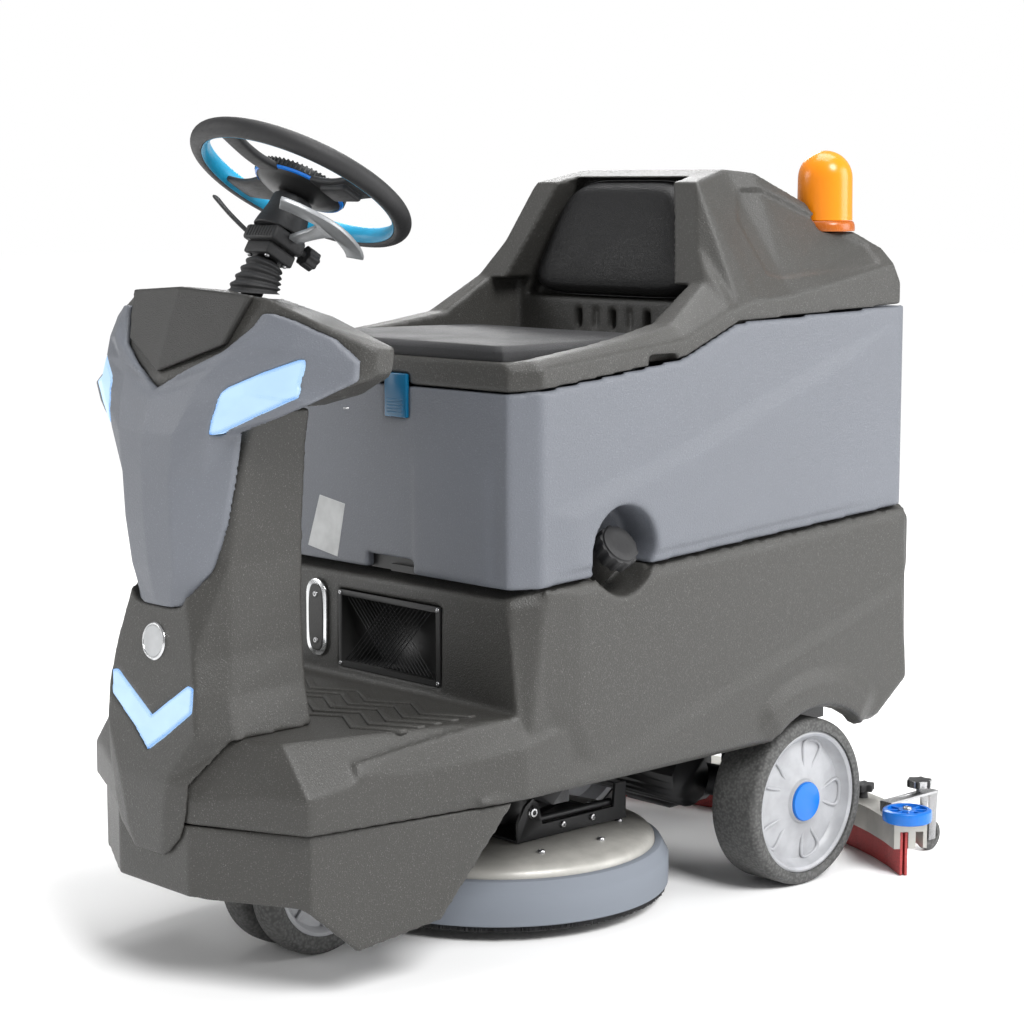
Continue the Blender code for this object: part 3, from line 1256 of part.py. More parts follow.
def strap_latch():
    """Blue strap that holds the housing down on the tank."""
    y = fore(0.1535) - CLEARANCE
    return eased(box((0.009, y - 0.008, STRAP_LOW), (0.055, y, STRAP_HIGH)), 0.002)


def vacuum_motor():
    """Vacuum motor under the hood."""
    seat = WHEELBASE - 0.744
    return disc(0.060, 0.872, 0.9826, centre=(-0.040, fore(0.775) + seat, 0), steps=20)


def filler_cap():
    """Ribbed cap on the filler neck."""
    ribs = 12
    outline = []
    for k in range(ribs * 4):
        angle = math.tau * k / (ribs * 4)
        radius = CAP_RADIUS if k % 4 in (0, 1) else CAP_RADIUS - 0.003
        outline.append((radius * math.cos(angle), radius * math.sin(angle)))
    cap = prism(outline, "Z", 0.0044, 0.0044 + CAP_LENGTH)
    return moved(cap, filler_frame())


# ---------------------------------------------------------------- assembly
def build():
    """Make every piece and hang it from its group."""
    for item in list(bpy.data.objects):
        bpy.data.objects.remove(item)

    dark = finish("dark_plastic", (0.055, 0.053, 0.049), 0.55)
    tank_grey = finish("tank_plastic", (0.195, 0.210, 0.235), 0.50)
    black = finish("black_plastic", (0.012, 0.012, 0.013), 0.45)
    rubber = finish("rubber", (0.075, 0.078, 0.080), 0.75)
    vinyl = finish("black_vinyl", (0.010, 0.010, 0.011), 0.42)
    steel = finish("painted_steel", (0.018, 0.018, 0.019), 0.45, 0.4)
    zinc = finish("zinc_plate", (0.42, 0.43, 0.44), 0.35, 0.9)
    rim_grey = finish("rim_plastic", (0.42, 0.43, 0.44), 0.40)
    silver = finish("silver_paint", (0.45, 0.44, 0.41), 0.35, 0.3)
    skirt_grey = finish("skirt_rubber", (0.18, 0.20, 0.23), 0.6)
    alloy = finish("aluminium", (0.45, 0.44, 0.41), 0.45, 0.8)
    red = finish("red_rubber", (0.42, 0.035, 0.035), 0.55)
    blue = finish("blue_plastic", (0.005, 0.150, 0.570), 0.35)
    teal = finish("teal_plastic", (0.005, 0.100, 0.210), 0.40)
    amber = finish("amber_lens", (0.900, 0.260, 0.005), 0.15)
    light = finish("light_lens", (0.380, 0.640, 1.000), 0.30, glow=1.5)
    bristle = finish("bristles", (0.010, 0.010, 0.011), 0.8)

    chassis = group("chassis", (0, 0, 0))
    publish("frame", chassis_frame(), steel, chassis)
    publish("solution_tank", lower_body(), dark, chassis)
    publish("front_bumper", front_bumper(), dark, chassis)
    column = cut(column_blank(), shield_recess())
    publish("chevron_light", common(column.copy(), chevron_prism()), light, chassis)
    publish("front_column", cut(column, chevron_prism(CLEARANCE)), dark, chassis)
    shield = shield_blank()
    for side, name in ((1, "headlight_left"), (-1, "headlight_right")):
        publish(name, common(shield.copy(), headlight_prism(side)), light, chassis)
    publish("front_shield", cut(shield, headlight_prism(1, CLEARANCE), headlight_prism(-1, CLEARANCE)),
            tank_grey, chassis)
    publish("dash_housing", cut(dash_blank(), shield_recess(), trim_solid(0.0006, -0.05, 0.0044)), dark, chassis)
    publish("dash_trim", dash_trim(), dark, chassis)
    publish("tilt_bracket", tilt_bracket(), steel, chassis)
    publish("battery_pack", battery_pack(), black, chassis)
    publish("transaxle", transaxle(), steel, chassis)
    publish("filter_basket", filter_basket(), black, chassis)
    publish("latch_plate", latch_plate(), zinc, chassis)
    publish("column_boot", column_boot(), rubber, chassis)
    publish("lift_actuator", lift_actuator(), zinc, chassis)
    publish("steering_chain", steering_chain(), steel, chassis)

    shaft = group("steering_shaft", (0, tilt_pivot().y, SPROCKET_Z), chassis)
    publish("lower_shaft", lower_shaft(), steel, shaft)

    tilting = group("tilting_column", tilt_pivot(), chassis)
    publish("column_tube", column_tube(), steel, tilting)
    publish("column_clamp", column_clamp(), black, tilting)
    publish("column_head", column_head(), black, tilting)
    knob_place = on_column_point((0.020, 0.045, 0.0712))
    publish("tilt_knob", tilt_knob(), black, group("knob_turn", knob_place, tilting))
    publish("throttle_paddle", throttle_paddle(), silver,
            group("paddle_pull", on_column_point((0.0365, 0, 0.0751)), tilting))
    publish("direction_lever", direction_lever(), black,
            group("lever_throw", on_column_point((-0.0346, 0, 0.071)), tilting))

    wheel = group("steering_wheel", on_column_point((0, 0, COLUMN_LENGTH)), tilting)
    publish("steering_rim", steering_rim(), black, wheel)
    publish("rim_insert", rim_insert(), teal, wheel)
    publish("wheel_hub", wheel_hub(), black, wheel)

    fork = group("fork", (0, FRONT_AXLE_Y, SPROCKET_Z), chassis)
    publish("front_fork", front_fork(), steel, fork)
    for side, name in ((1, "left"), (-1, "right")):
        spin = group("front_spin_" + name, (0, FRONT_AXLE_Y, FRONT_WHEEL_RADIUS), fork)
        publish("front_wheel_" + name, front_wheel(side), rubber, spin)
        spin = group("rear_spin_" + name, (0, REAR_AXLE_Y, REAR_WHEEL_RADIUS), chassis)
        publish("rear_tyre_" + name, rear_tyre(side), rubber, spin)
        publish("rear_rim_" + name, rear_rim(side), rim_grey, spin)

    deck = group("brush_deck", (0, fore(BRUSH_FORE), DOME_TOP_Z), chassis)
    publish("brush_cover", brush_cover(), silver, deck)
    publish("splash_skirt", splash_skirt(), skirt_grey, deck)
    publish("brush_bracket", brush_bracket(), steel, deck)
    publish("brush_motor", brush_motor(), black, deck)
    brush = group("brush", (0, fore(BRUSH_FORE), BRISTLE_TIP_Z), deck)
    publish("brush_disc", brush_disc(), blue, brush)
    publish("bristle_ring", bristle_ring(), bristle, brush)

    squeegee = group("squeegee", (0, aft(ARM_PIVOT_AFT), ARM_PIVOT_Z), chassis)
    publish("squeegee_channel", squeegee_channel(), alloy, squeegee)
    publish("front_blade", front_blade(), red, squeegee)
    publish("rear_blade", rear_blade(), red, squeegee)
    publish("squeegee_arm", squeegee_arm(), steel, squeegee)
    for side, name in ((1, "left"), (-1, "right")):
        turn = group("roller_turn_" + name, (side * ROLLER_X, channel_place(ROLLER_X, 0.016), CHANNEL_HIGH), squeegee)
        publish("roller_" + name, roller(side), blue, turn)
        publish("caster_bracket_" + name, caster_bracket(side), steel, squeegee)
        roll = group("caster_roll_" + name, (side * (CASTER_X - 0.012), aft(CASTER_Y), CASTER_RADIUS), squeegee)
        publish("caster_wheel_" + name, caster_wheel(side), rubber, roll)

    tank = group("tank", (0, aft(TANK_HINGE_AFT), TANK_HINGE_Z), chassis)
    publish("recovery_tank", recovery_tank(), tank_grey, tank)
    strap = group("strap", (0.032, fore(0.1495), STRAP_LOW), tank)
    publish("strap_latch", strap_latch(), teal, strap)
    cover = group("seat_cover", (0, aft(COVER_HINGE_AFT), COVER_HINGE_Z), tank)
    publish("seat_housing", seat_housing(), dark, cover)
    publish("seat_pad", seat_pad(), vinyl, cover)
    publish("backrest", backrest(), vinyl, cover)
    publish("beacon_base", beacon_base(), amber, cover)
    publish("beacon_lens", beacon_lens(), amber, cover)
    publish("vacuum_motor", vacuum_motor(), black, cover)
    cap = group("filler", tuple(filler_frame().translation), chassis)
    publish("filler_cap", filler_cap(), black, cap)


TANK_HINGE_AFT = 0.215
TANK_HINGE_Z = 0.560
COVER_HINGE_AFT = 0.212
COVER_HINGE_Z = 0.867


def on_column_point(point):
    """World place of a point given along the column."""
    turn = Matrix.Translation(column_foot()) @ Matrix.Rotation(-COLUMN_RAKE, 4, "X")
    return turn @ Vector(point)


build()
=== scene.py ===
"""Looks of a ride-on floor scrubber: one class for each sub-assembly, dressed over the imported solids."""
import logging
import math
from collections.abc import Callable, Iterable, Sequence
from dataclasses import dataclass, field
from enum import Enum
from typing import Any

import bmesh
import bpy
from mathutils import Matrix, Vector


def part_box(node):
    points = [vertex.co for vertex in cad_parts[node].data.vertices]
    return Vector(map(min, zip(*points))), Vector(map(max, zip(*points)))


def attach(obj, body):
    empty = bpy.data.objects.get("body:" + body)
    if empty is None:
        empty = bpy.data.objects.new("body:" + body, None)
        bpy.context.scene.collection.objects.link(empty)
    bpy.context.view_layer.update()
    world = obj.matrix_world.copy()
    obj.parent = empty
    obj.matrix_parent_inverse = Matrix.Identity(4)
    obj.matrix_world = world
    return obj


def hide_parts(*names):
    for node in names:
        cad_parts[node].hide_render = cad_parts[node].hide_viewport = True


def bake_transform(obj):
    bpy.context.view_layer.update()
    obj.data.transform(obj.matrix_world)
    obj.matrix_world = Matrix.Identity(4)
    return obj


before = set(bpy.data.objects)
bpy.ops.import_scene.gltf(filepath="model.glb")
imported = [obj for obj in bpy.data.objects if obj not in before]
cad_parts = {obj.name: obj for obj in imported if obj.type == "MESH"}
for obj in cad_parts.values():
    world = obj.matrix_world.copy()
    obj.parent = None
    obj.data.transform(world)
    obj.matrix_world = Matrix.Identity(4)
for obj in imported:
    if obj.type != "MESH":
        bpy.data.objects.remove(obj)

LOG = logging.getLogger("scrubber")
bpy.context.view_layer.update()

Point = tuple[float, float, float]
Colour = tuple[float, float, float]

# Places that the solids were built to, in metres.
FRONT_AXLE_Y = -0.399
REAR_AXLE_Y = 0.345
HALF = 0.285
DECK_Z = 0.345
BRUSH_Y = -0.027
COLUMN_RAKE = math.radians(30.3)
COLUMN_FOOT = Vector((0.0, -0.468, 0.912))
COLUMN_LENGTH = 0.1587
COLUMN_PLACE = Matrix.Translation(COLUMN_FOOT) @ Matrix.Rotation(-COLUMN_RAKE, 4, "X")
CAP_PLACE = Matrix.Translation((0.255, -0.058, 0.542)) @ Matrix.Rotation(math.radians(52), 4, "Y")
FILLER_Y = -0.058
FILLER_Z = 0.552
POCKET_RADIUS = 0.0635
ARCH_RADIUS = 0.150
WHEEL_Z = 0.127

CHASSIS = "chassis"
TANK_BODY = "tank"
SEAT_BODY = "seat_cover"
COLUMN_BODY = "tilting_column"
WHEEL_BODY = "steering_wheel"
DECK_BODY = "brush_deck"
SQUEEGEE_BODY = "squeegee"
SIDES = ((1, "left"), (-1, "right"))


def fore(distance: float) -> float:
    """Y of a place measured back from the front axle."""
    return FRONT_AXLE_Y + distance


def aft(distance: float) -> float:
    """Y of a place measured back from the rear axle."""
    return REAR_AXLE_Y + distance


def at(x: float = 0.0, y: float = 0.0, z: float = 0.0) -> Matrix:
    """Shift to a place."""
    return Matrix.Translation((x, y, z))


def tipped(degrees: float, axis: str) -> Matrix:
    """Turn about an axis."""
    return Matrix.Rotation(math.radians(degrees), 4, axis)


def tinted(colour: Colour, share: float, lift: float = 0.0) -> Colour:
    """Colour with each channel scaled and lifted, at most one."""
    return tuple(min(1.0, share * channel + lift) for channel in colour)


def polar(radius: float, angle: float) -> tuple[float, float]:
    """Flat place at a radius and an angle."""
    return radius * math.cos(angle), radius * math.sin(angle)


def angles(count: int) -> list[float]:
    """Angles evenly round a circle."""
    return [math.tau * k / count for k in range(count)]


# ------------------------------------------------------------------ shader writing
@dataclass
class Signal:
    """One output socket, which Python operators build on."""

    graph: "Graph"
    socket: bpy.types.NodeSocket

    def _math(self, operation: str, *others: "Signal | float") -> "Signal":
        """A Math node fed by this signal and the others."""
        values = {i: value for i, value in enumerate((self, *others))}
        return self.graph.node("ShaderNodeMath", {"operation": operation}, values)

    def _swapped(self, operation: str, other: "Signal | float") -> "Signal":
        """A Math node whose first value is the other one."""
        return self.graph.node("ShaderNodeMath", {"operation": operation}, {0: other, 1: self})

    def __add__(self, other: "Signal | float") -> "Signal":
        """Sum."""
        return self._math("ADD", other)

    __radd__ = __add__

    def __sub__(self, other: "Signal | float") -> "Signal":
        """Difference."""
        return self._math("SUBTRACT", other)

    def __rsub__(self, other: float) -> "Signal":
        """Difference with the number first."""
        return self._swapped("SUBTRACT", other)

    def __mul__(self, other: "Signal | float") -> "Signal":
        """Product."""
        return self._math("MULTIPLY", other)

    __rmul__ = __mul__

    def call(self, operation: str) -> "Signal":
        """A Math operation of one value, such as SINE."""
        return self._math(operation)

    def span(self, low: float, high: float, to_low: float = 0.0, to_high: float = 1.0) -> "Signal":
        """The signal carried smoothly from one range to another.

        Args:
            low: Value that becomes to_low.
            high: Value that becomes to_high.
            to_low: Result at and below low.
            to_high: Result at and above high.

        Returns:
            The carried signal.
        """
        settings = {"interpolation_type": "SMOOTHSTEP"}
        return self.graph.node("ShaderNodeMapRange", settings, {0: self, 1: low, 2: high, 3: to_low, 4: to_high})


class Graph:
    """Node tree of one material."""

    def __init__(self, name: str) -> None:
        """Start an empty material.

        Args:
            name: Name of the material.
        """
        self.material = bpy.data.materials.new(name)
        self.material.use_nodes = True
        self.tree = self.material.node_tree
        self.shader = self.tree.nodes["Principled BSDF"]

    def node(self, kind: str, settings: dict[str, Any] | None = None,
             values: dict[int | str, Any] | None = None, out: int | str = 0) -> Signal:
        """Add a node.

        Args:
            kind: Blender's type name of the node.
            settings: Properties to set first; "stops" holds a ramp's (place, colour) pairs.
            values: Numbers, colours or signals for its sockets, by index or name.
            out: Which output the result reads.

        Returns:
            The chosen output.
        """
        node = self.tree.nodes.new(kind)
        for key, value in (settings or {}).items():
            if key == "stops":
                elements = node.color_ramp.elements
                while len(elements) < len(value):
                    elements.new(0.5)
                for element, (place, colour) in zip(elements, value):
                    element.position = place
                    element.color = (*colour, 1.0) if len(colour) == 3 else colour
            else:
                setattr(node, key, value)
        for key, value in (values or {}).items():
            socket = node.inputs[key]
            if isinstance(value, Signal):
                self.tree.links.new(value.socket, socket)
            elif isinstance(value, tuple) and len(value) == 3 and socket.type == "RGBA":
                socket.default_value = (*value, 1.0)
            else:
                socket.default_value = value
        return Signal(self, node.outputs[out])

    def place(self, scale: Point = (1.0, 1.0, 1.0), shift: Point = (0.0, 0.0, 0.0)) -> Signal:
        """Object coordinates, stretched and shifted."""
        raw = self.node("ShaderNodeTexCoord", out="Object")
        return self.node("ShaderNodeMapping", None, {"Vector": raw, "Scale": scale, "Location": shift})

    def axis(self, which: int, vector: Signal | None = None) -> Signal:
        """One coordinate of a vector."""
        return self.node("ShaderNodeSeparateXYZ", None, {0: vector or self.place()}, out=which)

    def noise(self, scale: float, detail: float = 2.0, vector: Signal | None = None) -> Signal:
        """Noise of a scale in features a metre."""
        values = {"Vector": vector or self.place(), "Scale": scale, "Detail": detail, "Roughness": 0.55}
        return self.node("ShaderNodeTexNoise", None, values)

    def cells(self, scale: float, feature: str = "F1", vector: Signal | None = None) -> Signal:
        """Voronoi distance of a scale in cells a metre."""
        values = {"Vector": vector or self.place(), "Scale": scale}
        return self.node("ShaderNodeTexVoronoi", {"feature": feature}, values, out="Distance")

    def blend(self, factor: Signal | float, low: Signal | Colour, high: Signal | Colour) -> Signal:
        """Mix of two colours."""
        values = {0: factor, 6: (*low, 1.0) if isinstance(low, tuple) else low,
                  7: (*high, 1.0) if isinstance(high, tuple) else high}
        return self.node("ShaderNodeMix", {"data_type": "RGBA"}, values, out=2)

    def soft_edge(self, radius: float) -> Signal:
        """Normal that rounds the edges off at a radius."""
        return self.node("ShaderNodeBevel", {"samples": 4}, {"Radius": radius})

    def edge(self, radius: float) -> Signal:
        """Mask that is one along edges and zero on open faces.

        Args:
            radius: Reach of the mask from an edge.

        Returns:
            The mask.
        """
        soft = self.soft_edge(radius)
        true = self.node("ShaderNodeNewGeometry", out="Normal")
        dot = self.node("ShaderNodeVectorMath", {"operation": "DOT_PRODUCT"}, {0: soft, 1: true}, out="Value")
        return (1.0 - dot).span(0.004, 0.16)

    def bump(self, height: Signal, distance: float, strength: float = 1.0, normal: Signal | None = None) -> Signal:
        """Normal that follows a height.

        Args:
            height: The height.
            distance: Depth of the relief, in metres.
            strength: Share of the relief that shows.
            normal: Normal that it starts from, or the face's own.

        Returns:
            The normal.
        """
        values: dict[int | str, Any] = {"Height": height, "Distance": distance, "Strength": strength}
        if normal:
            values["Normal"] = normal
        return self.node("ShaderNodeBump", None, values)

    def dress(self, linked: dict[str, Signal], fixed: dict[str, Any]) -> bpy.types.Material:
        """Feed the shader.

        Args:
            linked: Signals by socket name.
            fixed: Plain values by socket name.

        Returns:
            The finished material.
        """
        for key, signal in linked.items():
            self.tree.links.new(signal.socket, self.shader.inputs[key])
        for key, value in fixed.items():
            self.shader.inputs[key].default_value = value
        return self.material

    def coat(self, base: Signal, roughness: Signal, normal: Signal, fixed: dict[str, Any]) -> bpy.types.Material:
        """Feed the shader's colour, roughness and normal, with plain values beside them."""
        return self.dress({"Base Color": base, "Roughness": roughness, "Normal": normal}, fixed)


# ------------------------------------------------------------------ finishes
@dataclass(frozen=True)
class Finish:
    """A surface that pieces can be given."""

    name: str
    colour: Colour

    def make(self) -> bpy.types.Material:
        """Build the material; each kind of finish has its own."""
        raise NotImplementedError


@dataclass(frozen=True)
class Rotomoulded(Finish):
    """Stippled polyethylene shell, its fine sparkle painted into the colour as light specks, with a painted highlight
    along its edges.
    """

    glint_colour: Colour = (0.30, 0.30, 0.29)
    grain: float = 640.0
    roughness: float = 0.44
    edge_radius: float = 0.004

    def make(self) -> bpy.types.Material:
        """Build the material.

        Returns:
            The material.
        """
        graph = Graph(self.name)
        cloud = graph.noise(5.0, 3.0)
        grain = graph.noise(self.grain, 3.0)
        pits = graph.cells(self.grain * 0.62)
        base = graph.blend(cloud.span(0.30, 0.70), tinted(self.colour, 0.975), tinted(self.colour, 1.03))
        # Painted glints: light specks mixed into the base colour for the sparkle.
        glint_specks = grain.span(0.58, 0.72)
        base = graph.blend(glint_specks * 0.36, base, self.glint_colour)
        # Painted highlight: the colour lightened in patches along edges.
        edge_highlight = graph.edge(self.edge_radius) * graph.noise(60.0).span(0.35, 0.7, 0.25, 0.6)
        base = graph.blend(edge_highlight, base, tinted(self.colour, 1.9, 0.015))
        roughness = self.roughness - glint_specks * 0.20 + cloud.span(0.3, 0.7) * 0.06
        height = grain * 0.7 + pits * 0.5
        normal = graph.bump(height, 0.00090, 0.60, graph.soft_edge(self.edge_radius))
        return graph.coat(base, roughness, normal, {"Specular IOR Level": 0.5})


@dataclass(frozen=True)
class Moulded(Finish):
    """Injection-moulded plastic with a fine texture, faint handling marks and a painted highlight along its edges."""

    roughness: float = 0.38
    grain: float = 1100.0
    relief: float = 0.00012
    edge_radius: float = 0.0012
    metallic: float = 0.0

    def make(self) -> bpy.types.Material:
        """Build the material.

        Returns:
            The material.
        """
        graph = Graph(self.name)
        cloud = graph.noise(24.0, 3.0)
        marks = graph.noise(90.0, 5.0, graph.place((1.0, 5.0, 2.0)))
        base = graph.blend(cloud.span(0.3, 0.7), tinted(self.colour, 0.88), tinted(self.colour, 1.12))
        # Painted highlight: the colour lightened along edges.
        edge_highlight = graph.edge(self.edge_radius) * 0.30
        base = graph.blend(edge_highlight, base, tinted(self.colour, 1.6, 0.02))
        roughness = self.roughness + marks.span(0.45, 0.75) * 0.12
        normal = graph.bump(graph.noise(self.grain, 2.0), self.relief, 0.6, graph.soft_edge(self.edge_radius))
        return graph.coat(base, roughness, normal, {"Metallic": self.metallic})


@dataclass(frozen=True)
class Metal(Finish):
    """Plated, painted or extruded metal with draw lines."""

    roughness: float = 0.32
    metallic: float = 1.0
    lines: Point = (60.0, 60.0, 60.0)
    relief: float = 0.00006
    edge_radius: float = 0.0008

    def make(self) -> bpy.types.Material:
        """Build the material.

        Returns:
            The material.
        """
        graph = Graph(self.name)
        cloud = graph.noise(18.0, 4.0)
        draw = graph.noise(14.0, 4.0, graph.place(self.lines))
        base = graph.blend(cloud.span(0.3, 0.75), tinted(self.colour, 0.84), tinted(self.colour, 1.1))
        roughness = self.roughness + draw.span(0.35, 0.7) * 0.14
        normal = graph.bump(draw, self.relief, 0.5, graph.soft_edge(self.edge_radius))
        return graph.coat(base, roughness, normal, {"Metallic": self.metallic})


@dataclass(frozen=True)
class Rubber(Finish):
    """Rubber with pebbled or smooth faces, painted shade between the pebbles and a dusting of wear."""

    pebbles: float = 260.0
    relief: float = 0.0011
    roughness: float = 0.72
    edge_radius: float = 0.002

    def make(self) -> bpy.types.Material:
        """Build the material.

        Returns:
            The material.
        """
        graph = Graph(self.name)
        cell = graph.cells(self.pebbles, "SMOOTH_F1")
        dust = graph.noise(14.0, 5.0)
        # Painted shade: the colour darker between the pebbles and lighter on their tops.
        base = graph.blend(cell.span(0.1, 0.7), tinted(self.colour, 1.25), tinted(self.colour, 0.62))
        base = graph.blend(dust.span(0.45, 0.75) * 0.30, base, tinted(self.colour, 1.6, 0.01))
        roughness = self.roughness + dust.span(0.4, 0.7) * 0.12
        normal = graph.bump(1.0 - cell, self.relief, 0.55, graph.soft_edge(self.edge_radius))
        return graph.coat(base, roughness, normal, {})


@dataclass(frozen=True)
class Vinyl(Finish):
    """Leather-grained seat cover, with painted shade in the grain's grooves."""

    grain: float = 520.0
    roughness: float = 0.36
    relief: float = 0.0004

    def make(self) -> bpy.types.Material:
        """Build the material.

        Returns:
            The material.
        """
        graph = Graph(self.name)
        warp = graph.noise(180.0, 3.0)
        creases = graph.cells(self.grain, "DISTANCE_TO_EDGE")
        cloud = graph.noise(12.0, 3.0)
        base = graph.blend(cloud.span(0.3, 0.7), tinted(self.colour, 0.8), tinted(self.colour, 1.3))
        # Painted shade: the colour darker in the grain's grooves.
        base = graph.blend(creases.span(0.0, 0.12, 0.5, 0.0), base, tinted(self.colour, 0.4))
        height = creases.span(0.0, 0.25) + warp * 0.6
        roughness = self.roughness + cloud.span(0.35, 0.7) * 0.10
        normal = graph.bump(height, self.relief, 0.5)
        return graph.coat(base, roughness, normal, {"Specular IOR Level": 0.34})


@dataclass(frozen=True)
class GlowLens(Finish):
    """Frosted light cover, lit from behind, deeper in tint at its edges."""

    rim: Colour = (0.060, 0.290, 0.84)
    strength: float = 1.0

    def make(self) -> bpy.types.Material:
        """Build the material.

        Returns:
            The material.
        """
        graph = Graph(self.name)
        edge = graph.edge(0.007)
        cloud = graph.noise(30.0, 2.0).span(0.3, 0.7)
        core = graph.blend(cloud * 0.5, self.colour, tinted(self.colour, 1.12))
        tint = graph.blend(edge.span(0.0, 0.55), core, self.rim)
        under = graph.blend(0.06, (0.0, 0.0, 0.0), tint)
        return graph.dress({"Base Color": under, "Emission Color": tint, "Normal": graph.soft_edge(0.003)},
                           {"Emission Strength": self.strength, "Roughness": 0.35})


@dataclass(frozen=True)
class Amber(Finish):
    """Clear amber lens with fine upright ribs round a given axis."""

    centre: tuple[float, float] = (0.200, 0.461)
    ribs: float = 52.0

    def make(self) -> bpy.types.Material:
        """Build the material.

        Returns:
            The material.
        """
        graph = Graph(self.name)
        turn = graph.node("ShaderNodeMath", {"operation": "ARCTAN2"},
                          {0: graph.axis(1) - self.centre[1], 1: graph.axis(0) - self.centre[0]})
        ribs = (turn * self.ribs).call("SINE")
        cloud = graph.noise(60.0, 2.0).span(0.3, 0.7)
        base = graph.blend(cloud, self.colour, tinted(self.colour, 0.86))
        normal = graph.bump(ribs, 0.0009, 0.6)
        fixed = {"Roughness": 0.07, "Transmission Weight": 0.97, "IOR": 1.25}
        return graph.dress({"Base Color": base, "Normal": normal}, fixed)


@dataclass(frozen=True)
class Strands(Finish):
    """Brush fibres, each with its own shade."""

    def make(self) -> bpy.types.Material:
        """Build the material.

        Returns:
            The material.
        """
        graph = Graph(self.name)
        strand = graph.noise(700.0, 1.0, graph.place((1.0, 1.0, 0.05)))
        base = graph.blend(strand.span(0.3, 0.7), tinted(self.colour, 0.5), tinted(self.colour, 3.2))
        return graph.dress({"Base Color": base, "Roughness": strand.span(0.3, 0.7, 0.35, 0.7)}, {})


class Palette(Enum):
    """Finishes of this machine."""

    SHELL = Rotomoulded("charcoal_shell", (0.0400, 0.0388, 0.0355))
    TANK = Rotomoulded("slate_tank", (0.138, 0.148, 0.170), glint_colour=(0.29, 0.31, 0.34), roughness=0.44)
    TRIM = Rotomoulded("graphite_trim", (0.025, 0.0243, 0.0228), glint_colour=(0.11, 0.11, 0.105), grain=900.0)
    BLACK = Moulded("black_plastic", (0.012, 0.012, 0.013))
    SOFT_BLACK = Moulded("grip_black", (0.016, 0.016, 0.017), roughness=0.55, relief=0.0002)
    TEAL = Moulded("teal_plastic", (0.002, 0.050, 0.098), roughness=0.42)
    LINING = Moulded("bright_lining", (0.010, 0.300, 0.520), roughness=0.35)
    BLUE = Moulded("blue_plastic", (0.004, 0.140, 0.560), roughness=0.30)
    RIM = Moulded("wheel_grey", (0.34, 0.345, 0.36), roughness=0.36, relief=0.00008)
    PADDLE = Moulded("paddle_silver", (0.34, 0.35, 0.36), roughness=0.30, metallic=0.35)
    BADGE = Moulded("blank_badge", (0.47, 0.48, 0.49), roughness=0.30)
    STICKER = Moulded("blank_sticker", (0.55, 0.56, 0.56), roughness=0.45)
    TYRE = Rubber("grey_tyre", (0.085, 0.085, 0.083))
    SMOOTH_RUBBER = Rubber("smooth_rubber", (0.020, 0.020, 0.021), pebbles=900.0, relief=0.0002, roughness=0.55)
    SKIRT = Rubber("skirt_rubber", (0.145, 0.160, 0.182), pebbles=800.0, relief=0.0002, roughness=0.50)
    BLADE = Rubber("red_blade", (0.400, 0.045, 0.045), pebbles=700.0, relief=0.0002, roughness=0.5)
    DOME = Metal("dome_paint", (0.440, 0.430, 0.400), roughness=0.34, metallic=0.15, lines=(20.0, 20.0, 20.0))
    STEEL = Metal("black_steel", (0.016, 0.016, 0.017), roughness=0.38, metallic=0.25)
    ZINC = Metal("zinc_plate", (0.56, 0.56, 0.57), roughness=0.24)
    CHROME = Metal("bright_chrome", (0.72, 0.73, 0.74), roughness=0.10)
    EXTRUSION = Metal("squeegee_alloy", (0.46, 0.45, 0.42), roughness=0.40, metallic=0.75, lines=(1.0, 200.0, 200.0))
    VINYL = Vinyl("black_vinyl", (0.0060, 0.0060, 0.0066))
    PAD = Vinyl("grey_seat_pad", (0.028, 0.028, 0.030), grain=700.0, roughness=0.52, relief=0.0003)
    LIGHT = GlowLens("ice_light", (0.50, 0.725, 0.99))
    AMBER = Amber("amber_lens", (0.96, 0.27, 0.004))
    AMBER_FOOT = Moulded("amber_foot", (0.42, 0.10, 0.006), roughness=0.25)
    AMBER_CORE = Moulded("amber_core", (0.80, 0.30, 0.020), roughness=0.30)
    AMBER_BAR = GlowLens("amber_bar", (1.0, 0.74, 0.22), rim=(1.0, 0.60, 0.10), strength=3.2)
    FIBRE = Strands("black_fibre", (0.010, 0.010, 0.011))

    def material(self) -> bpy.types.Material:
        """Material of this finish, made the first time it is asked for."""
        return bpy.data.materials.get(self.value.name) or self.value.make()


# ------------------------------------------------------------------ mesh work
def solid(bm: bmesh.types.BMesh) -> bmesh.types.BMesh:
    """Weld a closed mesh and turn its faces outwards.

    Args:
        bm: The mesh.

    Returns:
        The same mesh.
    """
    bmesh.ops.remove_doubles(bm, verts=bm.verts, dist=1e-6)
    bmesh.ops.recalc_face_normals(bm, faces=bm.faces)
    return bm


def loft(sections: Sequence[Sequence[Sequence[float]]], ring: bool = False) -> bmesh.types.BMesh:
    """Solid through loops of equally many points.

    Args:
        sections: The loops, in order.
        ring: Whether the last loop joins the first.

    Returns:
        The closed mesh.
    """
    bm = bmesh.new()
    loops = [[bm.verts.new(point) for point in section] for section in sections]
    pairs = list(zip(loops, loops[1:])) + ([(loops[-1], loops[0])] if ring else [])
    for lower, upper in pairs:
        for i in range(len(lower)):
            j = (i + 1) % len(lower)
            bm.faces.new((lower[i], lower[j], upper[j], upper[i]))
    if not ring:
        bm.faces.new(loops[0])
        bm.faces.new(loops[-1])
    return solid(bm)


